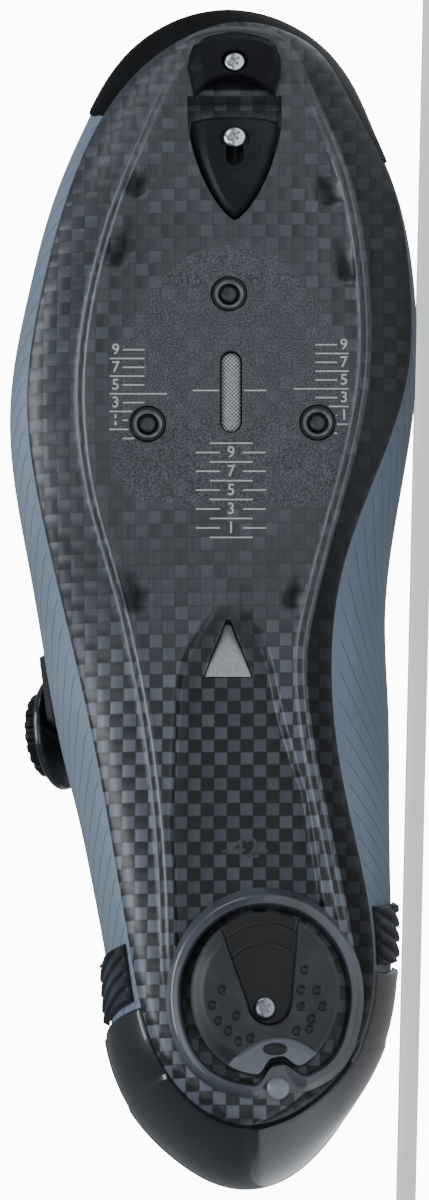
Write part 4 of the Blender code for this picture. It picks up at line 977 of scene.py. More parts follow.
def make_sole():
    start, end = RIB_TABLE["at"][0], float(RIB["at"](TOE_ROUND))
    turn = np.linspace(0.0, math.pi, STATIONS)
    shares = start + (end - start) * (1 - np.cos(turn)) / 2
    rings, painted_shades, rail_highlights = [], [], []
    for k, share in enumerate(shares):
        y, z = tread_row(share)
        if k in (0, STATIONS - 1):
            z = np.full_like(z, (z[0] + z[-1]) / 2)
            y = np.full_like(y, y[0])
        x = np.full_like(z, share * LENGTH)
        y = y + scoops(x, z)
        seat = float(edge_height(share))
        wall = np.linspace(0.0, 1.0, WALL_STEPS + 1)[1:]
        inner_wall = y[-1] + (seat - y[-1]) * wall
        outer_wall = seat + (y[0] - seat) * (wall[:-1])
        ring_y = np.concatenate([y, inner_wall, [seat], outer_wall])
        ring_z = np.concatenate([z, np.full(WALL_STEPS, z[-1]), np.full(WALL_STEPS, z[0])])
        rings.append(np.stack([np.full_like(ring_y, share * LENGTH), ring_y, ring_z], axis=-1))
        tread = len(z)
        flange = tread - len(FLANGE) + 1
        well = len(FLANGE) + len(CREST) + len(FIELD) + len(BANK) - 4
        dark = np.zeros_like(ring_y)
        # Painted shade on the inner flange and wall, which face away from the key light, heaviest from the
        # waist back to the heel.
        dark[flange:tread + WALL_STEPS] = ramp(0.985, 0.93, share) * (0.72 + 0.26 * ramp(0.66, 0.50, share))
        # Painted shade on the arch recess's floor, deeper where the floor sinks.
        dark[well:tread - well] = 0.50 * ramp(0.0004, 0.0016, y - float(sole_bottom(share)))[well:-well]
        # Painted shade in the scoops, by their depth.
        dark[:tread] = np.maximum(dark[:tread], np.minimum(scoops(x, z) / 0.0016, 0.8))
        # Painted shade on the crescent of tread under the toe pad.
        on_pad = (TOE.inverted() @ Vector((share * LENGTH, 0.0, 0.0))).x
        if TOE_MOUTH - 0.0012 < on_pad < TOE_MOUTH + 0.0052:
            dark[:tread][np.abs(z - TOE.translation.z) < 0.46 * PAD_WIDTH] = CUT_SHADE
        painted_shades.append(dark)
        # Painted highlight on the ridge crests: full on the outer ridge, 0.45 on the inner ridge, which faces
        # away from the key light.
        light = np.zeros_like(ring_y)
        tops = mound(np.abs(CREST), 0.56, 0.20) * float(np.clip(SOLE_AT["rib"](share), 0, 1))
        light[len(FLANGE):len(FLANGE) + len(CREST) - 1] = tops[1:]
        light[flange - len(CREST) + 1:flange] = 0.45 * tops[::-1][1:]
        rail_highlights.append(light)
    points = np.array(rings)
    faces = grid_faces(STATIONS, points.shape[1], wrap_columns=True)
    flat = points.reshape(-1, 3)
    grip = ramp(-0.0004, 0.0006, inside(GRIP_OUTLINE, flat[:, 0], flat[:, 2]))
    grip = grip * (flat[:, 1] < 0.006)
    fields = {"grip": grip, "shade": np.ravel(painted_shades), "rail_highlight": np.ravel(rail_highlights)}
    sole = piece("sole_plate", points, faces, CARBON, "sole", fields, slot="carbon", angle=SOLE_SHARP)
    cuts = [
        (oval(place, NUT_BORE, NUT_BORE, 48), sole_bottom(place[0] / LENGTH), NUT_DEPTH + GAP)
        for place in NUTS.values()
    ]
    cuts.append((stadium(BALL_VENT, BALL_VENT_LENGTH, BALL_VENT_WIDTH, 48), 0.0, VENT_DEPTH))
    cuts.append((vent_triangle(0.0), well_floor(ARCH_SHARE), VENT_DEPTH))
    ring = oval(RING_CENTER, RING_LENGTH - RING_BAND, RING_WIDTH - RING_BAND, 64)
    cutters = [(prism(outline, level + OUTSIDE, level + depth), HERE) for outline, level, depth in cuts]
    cutters.append((prism(wedge(SLIDER_CLEARANCE, TOE_MOUTH), OUTSIDE, TOE_POCKET_DEPTH), TOE))
    cutters.append((prism(ring, HEEL_LEVEL + OUTSIDE, HEEL_LEVEL + POCKET_DEPTH), HERE))
    carve(sole, cutters, SOLE_SHARP)


make_sole()


# Upper
ROUNDS, RISES = 420, 64
MID_RISE = 0.3


def make_upper():
    around = np.arange(ROUNDS) / ROUNDS
    t = np.linspace(0.0, 1.0, RISES)
    a, b = np.meshgrid(around, t, indexing="ij")
    collar = ramp(0.44, 0.30, RIB["top_at"](a))
    roll = 0.0012 * collar * ramp(0.86, 0.94, b) * ramp(1.002, 0.965, b)
    welt = 0.0003 * mound(b, 0.05, 0.02)
    trough = -0.0004 * mound(b, 0.83 - 0.05 * collar, 0.012) * (RIB["top_at"](a) < 0.69)
    outer = upper_point(a, b, roll + welt + trough)
    inner = upper_point(a, b, -UPPER_WALL)
    arc = lengths(rib_point(around, MID_RISE))
    heights = lengths(rib_point(a, b), axis=1)
    toe_arc = np.interp(TOE_ROUND, around, arc)
    along = np.abs(arc - toe_arc)[:, None] * np.ones((1, RISES))
    skin = np.stack([-along, heights, b], axis=-1).reshape(-1, 3)
    share = RIB["at"](a)
    mid = ramp(0.36, 0.42, share) * ramp(0.80, 0.74, share)
    pores = (mid * ramp(0.34, 0.40, b) * ramp(0.66, 0.58, b)).ravel()
    fields = {"skin": np.concatenate([skin, skin]), "pores": np.concatenate([pores, 0 * pores])}
    fields["inner"] = np.repeat([0.0, 1.0], len(skin))
    points = np.concatenate([outer.reshape(-1, 3), inner.reshape(-1, 3)])
    faces = shell_faces(ROUNDS, RISES, wrap_rows=True)
    made = piece("upper_shell", points, faces, [SKIN, LINING], "upper", fields, slot="microfibre", angle=60)
    inner = np.zeros(len(made.data.vertices))
    made.data.attributes["inner"].data.foreach_get("value", inner)
    for face in made.data.polygons:
        if min(inner[k] for k in face.vertices) > 0.5:
            face.material_index = 1


make_upper()


# Forms that several pieces share
def shell_piece(name, outer, inner, places, look, node=None, **options):
    """A closed shell between two grids, with the places of its cloth on both faces."""
    points = np.concatenate([outer.reshape(-1, 3), inner.reshape(-1, 3)])
    fields = {"skin": np.concatenate([places, places])}
    return piece(name, points, shell_faces(*outer.shape[:2]), look, node, fields, **options)


def edge_distance(grid):
    """Distance of each point of a grid to the nearest of its four sides, along the grid's own lines."""
    down, across = lengths(grid), lengths(grid, axis=1)
    return np.minimum(np.minimum(down, down[-1] - down), np.minimum(across, across[:, -1:] - across))


def brow(distance, radius):
    """Share of the full height near an edge that is round like a quarter circle."""
    near = np.clip(1 - distance / radius, 0, 1)
    return 0.25 + 0.75 * np.sqrt(1 - near**2)


AROUND_FINE = np.arange(1201) / 1200
FOOT_ARC = lengths(rib_point(AROUND_FINE, MID_RISE))
TOE_ARC = np.interp(TOE_ROUND, AROUND_FINE, FOOT_ARC)


def skin_places(around, rise):
    """Lengths along the foot and up it, for the grain and lines of the upper's skin."""
    along = -np.abs(np.interp(around % 1.0, AROUND_FINE, FOOT_ARC) - TOE_ARC)
    steps = np.linspace(0.0, 1.0, 12)
    path = rib_point(around[..., None], rise[..., None] * steps)
    height = np.linalg.norm(np.diff(path, axis=-2), axis=-1).sum(axis=-1)
    return np.stack([along, height, rise], axis=-1).reshape(-1, 3)


def overlay(name, arounds, lows, highs, lift, thickness, look, rises=24, edge=0.0008, relief=None, **options):
    """A plate on the upper between two rises, with rounded edges and its own relief."""
    arounds = np.asarray(arounds, float)
    up_share = np.linspace(0.0, 1.0, rises)[None, :]
    lows = np.broadcast_to(lows, arounds.shape)[:, None]
    highs = np.broadcast_to(highs, arounds.shape)[:, None]
    rise = lows + (highs - lows) * up_share
    around = np.broadcast_to(arounds[:, None], rise.shape)
    near = upper_point(around, rise, lift)
    distance = edge_distance(near)
    full = thickness * brow(distance, edge)
    if relief:
        full = full + relief(around, up_share + 0 * rise, distance)
    far = upper_point(around, rise, lift + full)
    shell_piece(name, far, near, skin_places(around, rise), look, **options)


def disc(count):
    """Places of a square grid squeezed into a unit disc."""
    line = np.linspace(-1.0, 1.0, count)
    u, v = np.meshgrid(line, line, indexing="ij")
    return u * np.sqrt(1 - v * v / 2), v * np.sqrt(1 - u * u / 2)


def plug_piece(name, top, back, look, node, fields=None, rest=0.0, **options):
    """A closed body: a grid as its face, a wall from its border to the height back, and a flat back.

    Each field has a value for each point of the face, and the value rest behind it."""
    rows, columns = top.shape[:2]
    k = np.arange(rows * columns).reshape(rows, columns)
    border = np.concatenate([k[0, :-1], k[:-1, -1], k[-1, :0:-1], k[:0:-1, 0]])
    face = top.reshape(-1, 3)
    rim = face[border].copy()
    rim[:, 1] = back
    start, count = len(face), len(border)
    faces = [list(quad) for quad in grid_faces(rows, columns)]
    for k in range(count):
        n = (k + 1) % count
        faces.append([border[k], border[n], start + n, start + k])
        faces.append([start + k, start + n, start + count])
    points = np.concatenate([face, rim, rim.mean(axis=0)[None, :]])
    fields = {key: np.append(values, np.full(count + 1, rest)) for key, values in (fields or {}).items()}
    return piece(name, points, faces, look, node, fields, **options)


def tread_height(x, z):
    """Height of the tread at places along and across the foot."""
    x, z = np.broadcast_arrays(np.asarray(x, float), np.asarray(z, float))
    heights = np.empty(x.shape)
    for place in np.ndindex(x.shape):
        y, across = tread_row(x[place] / LENGTH)
        heights[place] = np.interp(z[place], across[::-1], y[::-1])
    return heights + scoops(x, z)


def turned_piece(name, profile, center, look, node, count=64, angle=35, **options):
    """A turned piece from a profile in millimetres; its radius is kept as the field ring."""
    profile = np.array(profile) / 1000
    points, faces = turned(profile, center, count)
    ring = np.broadcast_to(profile[None, :, 0], points.shape[:2]).ravel() * 100
    return piece(name, points, faces, look, node, {"ring": ring}, angle=angle, **options)


def screw(name, profile, center, look, node, place=HERE):
    """A turned screw with a cross recess in its head, at the profile's first height."""
    made = turned_piece(name, profile, center, look, node, place=place, slot="steel")
    top = profile[0][1] / 1000
    cuts = []
    for turn in (0.6, 0.6 + math.pi / 2):
        c, s = math.cos(turn), math.sin(turn)
        corners = ((1.45, 0.28), (1.45, -0.28), (-1.45, -0.28), (-1.45, 0.28))
        arms = [((a * c - b * s) / 1000, (a * s + b * c) / 1000) for a, b in corners]
        outline = [(center[0] + a, center[1] + b) for a, b in arms]
        cuts.append((prism(outline, top - 0.001, top + 0.0009), place))
    carve(made, cuts, 35)


# Cleat nuts, with a plug in each bore
NUT_PROFILE = (
    (0.0, 2.8), (4.08, 2.8), (4.1, 0.3), (4.0, 0.04), (3.8, -0.05), (3.5, -0.02), (3.38, 0.12), (3.3, 0.45),
    (2.85, 0.75), (2.62, 0.80), (2.52, 1.0), (2.48, 1.7), (2.12, 1.7), (2.08, 1.1), (1.9, 0.78), (1.4, 0.52),
    (0.7, 0.40), (0.0, 0.38),
)
for key, place in NUTS.items():
    level = float(sole_bottom(place[0] / LENGTH)) * 1000
    profile = [(r, level + y) for r, y in NUT_PROFILE]
    turned_piece(f"nut_{key}", profile, place, NUT, f"cleat_nut_{key}", slot="steel")


# Vent meshes: crossed strands stand up from a dark ground
def weave(x, z, pitch):
    """Height share of strands that cross at 45 degrees, over and under in turn."""
    u = (x + z) / pitch
    v = (x - z) / pitch
    odd = (np.floor(u) + np.floor(v)) % 2
    across = np.where(odd > 0, u - np.floor(u), v - np.floor(v))
    along = np.where(odd > 0, v - np.floor(v), u - np.floor(u))
    return np.sqrt(np.clip(np.sin(math.pi * across), 0, 1)) * (0.35 + 0.65 * np.sin(math.pi * along))


def vent_piece(name, x, y, z, level, strand):
    top, back = np.stack([x, y, z], axis=-1), level + MESH_SINK + MESH_THICKNESS
    fields = {"strand": strand}
    plug_piece(f"{name}_weave", top, back, VENT, f"{name}_mesh", fields, slot="vent_mesh", angle=80)


def ball_vent_piece():
    u, v = disc(150)
    half_width = BALL_VENT_WIDTH / 2 - GAP
    straight = (BALL_VENT_LENGTH - BALL_VENT_WIDTH) / 2
    x = half_width * u + straight * np.clip(u / 0.4, -1, 1)
    widen = np.where(np.abs(u) < 0.4, 1 / np.sqrt(1 - np.minimum(u * u, 0.16)), 1.0)
    past = np.clip((np.abs(x) - straight) / half_width, 0, 1)
    widen = np.where(np.abs(u) < 0.4, widen * np.sqrt(1 - past**2), widen)
    x = BALL_VENT[0] + x
    z = BALL_VENT[1] + half_width * v * widen
    strand = weave(x, z, 0.00092)
    level = float(sole_bottom(BALL_VENT[0] / LENGTH))
    crown = (1 - np.clip(u * u + v * v, 0, 1)) ** 0.6
    y = level + MESH_SINK - 0.0011 * crown - 0.00022 * strand
    vent_piece("ball_vent", x, y, z, level, strand)


def arch_vent_piece():
    outline = np.array(vent_triangle(GAP))
    ahead, behind = outline[:, 0].max(), outline[:, 0].min()
    outer = sorted((x, z) for x, z in outline if z > ARCH_VENT[1])
    rows, columns = 120, 90
    line = np.linspace(behind, ahead, rows)
    half = np.interp(line, [p[0] for p in outer], [p[1] - ARCH_VENT[1] for p in outer])
    across = np.linspace(-1.0, 1.0, columns)
    x = np.broadcast_to(line[:, None], (rows, columns))
    z = ARCH_VENT[1] + half[:, None] * across[None, :]
    strand = weave(x, z, 0.00062)
    level = well_floor(ARCH_SHARE)
    crown = (1 - across**2)[None, :] ** 0.7 * ramp(behind, behind + 0.004, x) * ramp(ahead, ahead - 0.005, x)
    y = level + MESH_SINK - 0.0011 * crown - 0.00012 * strand
    vent_piece("arch_vent", x, y, z, level, 0.25 + 0.75 * strand)


ball_vent_piece()
arch_vent_piece()

# Cleat scales: millimetre marks on the ball, printed in white
TICK = 0.00034
PRINT_PROUD, PRINT_DEPTH = 0.00005, 0.0001
OUTER_TICKS = np.linspace(195.8, 174.6, 11)
INNER_TICKS = np.linspace(197.0, 175.8, 11)
MIDDLE_TICKS = np.linspace(173.5, 151.9, 11)
DIGIT_SIZE = 0.0037
NUT_MARGIN = 4.7


def mark_spans():
    """Each mark as its place along the foot and its two ends across it, in millimetres."""
    spans = [(186.0, 11.1, 4.9), (186.0, -1.0, -6.2)]
    for k, x in enumerate(OUTER_TICKS):
        spans.append((x, 30.7 if k % 2 else 27.6, 17.2 if k == 5 else 22.5))
    for k, x in enumerate(INNER_TICKS):
        spans.append((x, -12.6 if k == 5 else -17.8, -25.6 if k % 2 else -22.9))
    for k, x in enumerate(MIDDLE_TICKS):
        spans.extend([(x, 10.4, 4.7), (x, -0.7, -6.1)] if k % 2 else [(x, 7.1, -3.0)])
    return spans


def printed(build, name, look, level_at):
    """Lays a flat bmesh in X and Z on the sole, whose height at a share of LENGTH is level_at."""
    for vertex in build.verts:
        level = float(level_at(vertex.co.x / LENGTH))
        vertex.co.y = level - PRINT_PROUD if vertex.co.y < 0 else level + PRINT_DEPTH
    bmesh.ops.recalc_face_normals(build, faces=build.faces)
    mesh = bpy.data.meshes.new(name)
    build.to_mesh(mesh)
    build.free()
    dress(name, mesh, look)


def digit_bmesh(text, x, z, size, into):
    """Adds a number's outline, upright as the toe is up, as thin closed letters."""
    curve = bpy.data.curves.new("digits", "FONT")
    curve.body = text
    curve.size = size
    curve.align_x = "CENTER"
    curve.align_y = "CENTER"
    curve.extrude = 0.0001
    curve.offset = 0.00004
    curve.resolution_u = 3
    maker = bpy.data.objects.new("digits", curve)
    bpy.context.scene.collection.objects.link(maker)
    mesh = maker.to_mesh()
    first = len(into.verts)
    into.from_mesh(mesh)
    into.verts.ensure_lookup_table()
    for vertex in list(into.verts)[first:]:
        a, b, c = vertex.co
        vertex.co = (x + b, -c, z - a)
    maker.to_mesh_clear()
    bpy.data.objects.remove(maker)


def scale_marks():
    build = bmesh.new()
    nuts = [(x * 1000, z * 1000) for x, z in NUTS.values()]
    for x, first, last in mark_spans():
        for nut_x, nut_z in nuts:
            reach = NUT_MARGIN**2 - (x - nut_x) ** 2
            if reach <= 0:
                continue
            low, high = nut_z - math.sqrt(reach), nut_z + math.sqrt(reach)
            if last < high < first:
                last = high
            elif last < low < first:
                first = low
        ends = ((-1, first), (1, first), (1, last), (-1, last))
        corners = [(x / 1000 + a * TICK / 2, b / 1000) for a, b in ends]
        below = [build.verts.new((a, -1.0, b)) for a, b in corners]
        above = [build.verts.new((a, 1.0, b)) for a, b in corners]
        build.faces.new(below)
        build.faces.new(above[::-1])
        for k in range(4):
            build.faces.new((below[k], above[k], above[(k + 1) % 4], below[(k + 1) % 4]))
    for across, along in ((29.3, OUTER_TICKS[::2]), (-24.5, INNER_TICKS[::2]), (2.1, MIDDLE_TICKS[1::2])):
        for text, x in zip("97531", along):
            digit_bmesh(text, x / 1000, across / 1000, DIGIT_SIZE, build)
    printed(build, "cleat_scales", PAINT, sole_bottom)


scale_marks()


def size_mark():
    """The shoe's size, faint in the arch."""
    build = bmesh.new()
    digit_bmesh("-42-", 0.0789, -0.0012, 0.0068, build)
    printed(build, "size_mark", FAINT, well_floor)


size_mark()

# Toe plate, in its own frame: the pad, the vent shutter and their screws
SLIDER_TOP = TOE_POCKET_DEPTH - GAP
SLIDER_FACE = SLIDER_TOP - SLIDER_HEIGHT
PAD_SCREW = TOE_MOUTH + 0.0079
PAD_FACE = -0.0034
SLIDER_SHARP = 32


def toe_pad_piece():
    rows, columns = 96, 120
    t = np.linspace(0.0, 1.0, rows)[:, None]
    v = np.linspace(-1.0, 1.0, columns)[None, :]
    z = v * PAD_WIDTH * np.interp(t, [0.0, 0.6, 0.85, 1.0], [0.45, 0.52, 0.50, 0.46])
    lower = TOE_MOUTH - GAP + 0.0046 * (1 - v**2) + 0 * t
    upper = TOE_MOUTH - GAP + PAD_LENGTH - 0.028 * (z * 1000) ** 2 / 1000
    x = lower + (upper - lower) * t
    grid = np.stack([x, 0 * x, z], axis=-1)
    left = z[:, -1:] - z
    right = z - z[:, :1]
    front = upper - x
    rear = x - lower
    y = PAD_FACE + 0.0026 * ramp(0.0032, 0.0, left) + 0.0023 * ramp(0.0018, 0.0, right)
    y = y + 0.0020 * ramp(0.0032, 0.0, front) + 0.0007 * ramp(0.0006, 0.0, rear)
    y = y - 0.0002 * mound(rear, 0.0011, 0.0004)
    ahead = x - PAD_SCREW
    y = y + 0.0005 * ramp(0.0012, 0.0020, np.abs(z) * 0.55 + ahead)
    y = y - 0.0003 * ramp(-0.0050, -0.0044, ahead - np.abs(z) * 0.4)
    from_screw = np.hypot(ahead, z)
    y = y + 0.0018 * ramp(0.0034, 0.0029, from_screw)
    grid[..., 1] = np.clip(y, PAD_FACE, 0.0004)
    plug_piece("toe_pad_rubber", grid, PAD_SINK, RUBBER, "toe_pad", slot="rubber", place=TOE, angle=38)


def slider_half(x):
    """Half width of the shutter at a place along it."""
    share = np.clip(-x / SLIDER_LENGTH, 0.0, 1.0)
    return SLIDER_WIDTH / 2 * (1 - share**SLIDER_BOW) ** SLIDER_FULLNESS


def slider_piece():
    rows, columns = 150, 110
    t = np.linspace(0.0, 1.0, rows)
    line = -SLIDER_LENGTH * np.sin(t * math.pi / 2)
    line[-1] = -SLIDER_LENGTH + 2e-5
    half = slider_half(line)
    v = np.linspace(-1.0, 1.0, columns)[None, :]
    x = np.broadcast_to(line[:, None], (rows, columns)).copy()
    z = half[:, None] * v
    facet = np.maximum(0.0011 + 0.0023 * (1 + x / SLIDER_LENGTH), 0.0003)
    inset = half[:, None] * (1 - np.abs(v))
    drop = np.clip(1 - inset / facet, 0, 1)
    y = SLIDER_FACE + 0.0019 * drop
    y = y + 0.0014 * ramp(-0.0016, 0.0, x) * (0.4 + 0.6 * ramp(0.0052, 0.0064, np.abs(z)))
    y = y + 0.0007 * ramp(0.0020, 0.0, x + SLIDER_LENGTH)
    slot_front, slot_back = SCREW_SLOT_PLACE + GAP, SCREW_SLOT_PLACE - SLIDER_TRAVEL - GAP
    beyond = np.maximum(np.maximum(x - slot_front, slot_back - x), 0)
    from_slot = np.hypot(beyond, z)
    rim = ramp(0.0020, 0.00215, from_slot) * ramp(0.00275, 0.0026, from_slot)
    y = y - 0.0002 * rim * (drop <= 0)
    from_screw = np.hypot(x - SCREW_SLOT_PLACE, z)
    y = y + 0.0005 * ramp(0.0036, 0.0031, from_screw) * ramp(-0.0085, -0.0070, x)
    made = plug_piece(
        "slider_shell", np.stack([x, y, z], axis=-1), SLIDER_TOP, SATIN, "vent_slider", body="vent_shutter",
        slot="gloss", place=TOE, angle=SLIDER_SHARP,
    )
    radius = SLOT_WIDTH / 2
    turns = np.linspace(-math.pi / 2, math.pi / 2, 15)
    front = [(slot_front + radius * math.cos(a), radius * math.sin(a)) for a in turns]
    back = [(slot_back - radius * math.cos(a), -radius * math.sin(a)) for a in turns]
    carve(made, [(prism(front + back, SLIDER_FACE - 0.003, SLIDER_TOP + 0.003), TOE)], SLIDER_SHARP)


toe_pad_piece()
slider_piece()
seat = (SLIDER_FACE - GAP) * 1000
slider_profile = (
    (0.0, seat - 1.6), (1.3, seat - 1.58), (2.0, seat - 1.42), (2.45, seat - 1.1), (2.68, seat - 0.6),
    (2.7, seat - 0.1), (2.6, seat), (1.6, seat), (1.6, SLIDER_TOP * 1000), (0.0, SLIDER_TOP * 1000),
)
screw("slider_bolt", slider_profile, (SCREW_SLOT_PLACE, 0.0), BRIGHT, "slider_screw", TOE)
toe_profile = (
    (0.0, -3.4), (1.4, -3.38), (2.0, -3.25), (2.4, -2.95), (2.62, -2.5), (2.7, -2.0), (2.65, -1.8),
    (0.0, -1.8),
)
screw("toe_bolt", toe_profile, (PAD_SCREW, 0.0), BRIGHT, "toe_screw", TOE)


def toe_arc():
    """The grey lip ahead of the toe pad."""
    rings, sides = 60, 12
    line = np.linspace(-1.0, 1.0, rings)
    z = 0.0009 + 0.0122 * line
    x = 0.2783 - 0.0022 * line**2 - 0.0008 * line**4
    y = tread_height(x, z)
    turns = full_turn(sides)
    swell = np.sqrt(np.clip(1 - np.abs(line) ** 8, 0.02, 1))
    path = np.stack([x, y, z], axis=-1)
    ahead = np.gradient(path, axis=0)
    ahead /= np.linalg.norm(ahead, axis=-1, keepdims=True)
    out = np.array([-0.42, -0.91, 0.0])
    side = np.cross(ahead, out)
    side /= np.linalg.norm(side, axis=-1, keepdims=True)
    ring = (
        path[:, None, :]
        + (0.00085 * np.cos(turns))[None, :, None] * (side * swell[:, None])[:, None, :]
        + (0.00060 * np.sin(turns))[None, :, None] * (out * swell[:, None])[:, None, :]
    )
    points = np.concatenate([ring.reshape(-1, 3), path[:1], path[-1:]])
    faces = [list(q) for q in grid_faces(rings, sides, wrap_columns=True)]
    last = (rings - 1) * sides
    for k in range(sides):
        n = (k + 1) % sides
        faces.append([k, n, rings * sides])
        faces.append([last + k, rings * sides + 1, last + n])
    piece("toe_lip", points, faces, GREY, slot="grey")


toe_arc()

# Heel: a rounded ring with a wave behind, and the pad that stands in it
WAVE_TURN = math.radians(191)
WAVE_DEPTH = 0.0046
WAVE_SPREAD = math.radians(12.5)


def wave(turn):
    """How strongly the ring dips toward the pad at a turn round it."""
    off = (turn - WAVE_TURN + math.pi) % (2 * math.pi) - math.pi
    return np.exp(-((off / WAVE_SPREAD) ** 4))


def rear_corners(turn):
    return mound(turn, math.radians(138), math.radians(26)) + mound(turn, math.radians(228), math.radians(20))


def heel_ring():
    count = 360
    turn = full_turn(count)
    reach = 1 + 0.055 * rear_corners(turn)
    crest_x = 0.0216 * np.cos(turn) * reach
    crest_z = 0.0204 * np.sin(turn) * reach
    radius = np.hypot(crest_x, crest_z)
    angle = np.arctan2(crest_z, crest_x)
    radius = radius - WAVE_DEPTH * wave(turn)
    spread = 2.3 + 3.9 * wave(turn) + 0.9 * (np.cos(turn) > 0) * np.cos(turn) ** 2
    profile = (
        (-1.20, 1.95), (-1.12, 0.6), (-1.00, -0.9), (-0.72, -1.75), (-0.25, -2.18), (0.25, -2.15),
        (0.42, -1.95), (0.70, -1.35), (1.0, -0.15), (1.1, 0.9), (0.3, 1.9),
    )
    knots = np.linspace(0.0, 1.0, len(profile) + 1)
    offsets = np.array([p[0] for p in profile])
    heights = smooth(knots, np.array([p[1] for p in profile]), closed=True)
    dense = np.linspace(0.0, 1.0, 44, endpoint=False)
    rows = []
    for k in range(count):
        wide = np.where(np.arange(len(profile)) >= 6, offsets * spread[k], offsets)
        out = smooth(knots, wide, closed=True)(dense)
        r = radius[k] + out / 1000
        rows.append(np.stack([
            RING_CENTER[0] + r * math.cos(angle[k]),
            HEEL_LEVEL + heights(dense) / 1000,
            RING_CENTER[1] + r * math.sin(angle[k]),
        ], axis=-1))
    grid = np.array(rows)
    slope = np.array([float(sole_bottom(x)) for x in np.clip(grid[..., 0].ravel() / LENGTH, 0.051, 0.99)])
    from_center = np.hypot(grid[..., 0] - RING_CENTER[0], grid[..., 2] - RING_CENTER[1])
    outer = ramp(0.5, 3.0, from_center * 1000 - radius[:, None] * 1000)
    grid[..., 1] += (slope.reshape(grid.shape[:2]) - HEEL_LEVEL) * outer
    faces = grid_faces(count, len(dense), wrap_rows=True, wrap_columns=True)
    piece("heel_ring", grid, faces, RING_LOOK, "sole", slot="carbon", angle=60)


def heel_pad_piece():
    u, v = disc(210)
    turn = np.arctan2(v, u) % (2 * math.pi)
    rho = np.clip(np.hypot(u, v), 0, 1)
    shrink = 1 - 0.205 * wave(turn) * rho**3
    x_mm = 18.8 * u * shrink * (1 + 0.02 * rear_corners(turn) * rho**2)
    z_mm = 17.28 * v * shrink
    left_edge = 2.7 + 0.349 * (x_mm + 6.3)
    right_edge = -6.1 - 0.083 * (x_mm + 2.7)
    sides = np.minimum(left_edge - z_mm, z_mm - right_edge)
    round_end = 5.0 - np.hypot(x_mm + 2.4, z_mm + 1.03)
    in_valley = np.where(x_mm > -2.4, sides, round_end)
    valley = ramp(-0.45, 0.45, in_valley)
    y = 3.4 * valley
    limit = np.where(np.sin(turn) > 0, 0.80 + 0.15 * ramp(0.25, -0.05, np.sin(turn)), 0.95)
    outside = ramp(0.0, 1.0, (rho - limit) / (1.001 - limit))
    y = y + (1 - valley) * np.where(np.sin(turn) > 0, 2.6, 1.2) * outside
    y = y - 0.25 * (1 - valley) * mound(rho, limit - 0.02, 0.018) * (np.sin(turn) > 0.1)
    back_line = -10.4 - 0.045 * (z_mm + 3.2) ** 2
    behind = ramp(0.35, -0.35, x_mm - back_line)
    dish = 0.9 + 0.8 * ramp(0.0, 5.0, back_line - x_mm) - 0.5 * mound(x_mm - back_line, -0.8, 0.5)
    y = y * (1 - behind) + dish * behind
    oval_dip = np.hypot((x_mm + 13.0) / 1.5, (z_mm + 2.3) / 3.1)
    y = y + 0.7 * ramp(1.0, 0.75, oval_dip)
    dimples = (
        (44.8, 4.2), (41.3, 6.6), (38.9, 1.0), (37.7, 5.2), (35.4, 2.8), (33.0, 0.5), (33.7, -2.3),
        (49.5, -14.8), (44.8, -14.0), (44.8, -17.6), (41.0, -14.0), (41.0, -19.0), (38.2, -16.4),
        (35.4, -12.9), (35.8, -15.9),
    )
    pits = np.zeros_like(y)
    for s, w in dimples:
        off = np.hypot(x_mm + RING_CENTER[0] * 1000 - s, z_mm + RING_CENTER[1] * 1000 - w)
        pits = np.maximum(pits, ramp(1.3, 0.6, off))
    y = y + 0.75 * pits * (1 - valley) * (1 - behind)
    for reach, depth in ((0.62, 0.16), (0.86, 0.16)):
        y = y + depth * mound(rho, reach, 0.008) * valley * (x_mm > 3)
    # Painted shade darkens the dimples; behind the pad the tone rises to a painted sheen, and the oval dip
    # there is kept darker as painted shade.
    tone_and_painted_light = np.clip(0.5 - 0.5 * valley - 0.2 * pits, 0, 1) * (1 - behind)
    tone_and_painted_light = tone_and_painted_light + behind * (1 - 0.8 * ramp(1.0, 0.75, oval_dip))
    x, z = RING_CENTER[0] + x_mm / 1000, RING_CENTER[1] + z_mm / 1000
    top = np.stack([x, np.maximum(y, 0) / 1000, z], axis=-1)
    back = HEEL_LEVEL + POCKET_DEPTH - GAP
    plug_piece("heel_pad_rubber", top, back, HEEL_LOOK, "heel_pad", {"tone_and_painted_light": tone_and_painted_light}, 0.3, slot="rubber")


heel_ring()
heel_pad_piece()
heel_screw_place = (RING_CENTER[0] - 0.0035, RING_CENTER[1])
heel_profile = (
    (0.0, 1.5), (1.3, 1.52), (1.9, 1.62), (2.3, 1.85), (2.6, 2.2), (2.7, 2.7), (2.65, 3.1), (0.0, 3.1),
)
screw("heel_bolt", heel_profile, heel_screw_place, DARK_METAL, "heel_screw")
rivet_place = (RING_CENTER[0] - RING_LENGTH / 2 + RING_BAND / 2, RING_CENTER[1] - 0.0030)
level = HEEL_LEVEL * 1000
rivet_profile = (
    (0.0, level - 2.9), (0.9, level - 2.86), (1.7, level - 2.66), (2.3, level - 2.3), (2.65, level - 1.8),
    (2.7, level - 1.0), (2.7, level), (0.0, level),
)
turned_piece("heel_stud", rivet_profile, rivet_place, RIVET, "heel_rivet", slot="grey")

# Heel cup, its two ribbed clips and the toe bumper
CAD_ROUND = 60
FILM_LIFT = 0.00003
CUP_IN = round((around_at(0.190, -1) - 1) * CAD_ROUND) / CAD_ROUND
CUP_OUT = round(around_at(0.147, +1) * CAD_ROUND) / CAD_ROUND


def cup_side(around):
    """Place across the heel cup, from -1 at its inner end to 1 at its outer end."""
    return (around - (CUP_IN + CUP_OUT) / 2) / ((CUP_OUT - CUP_IN) / 2)


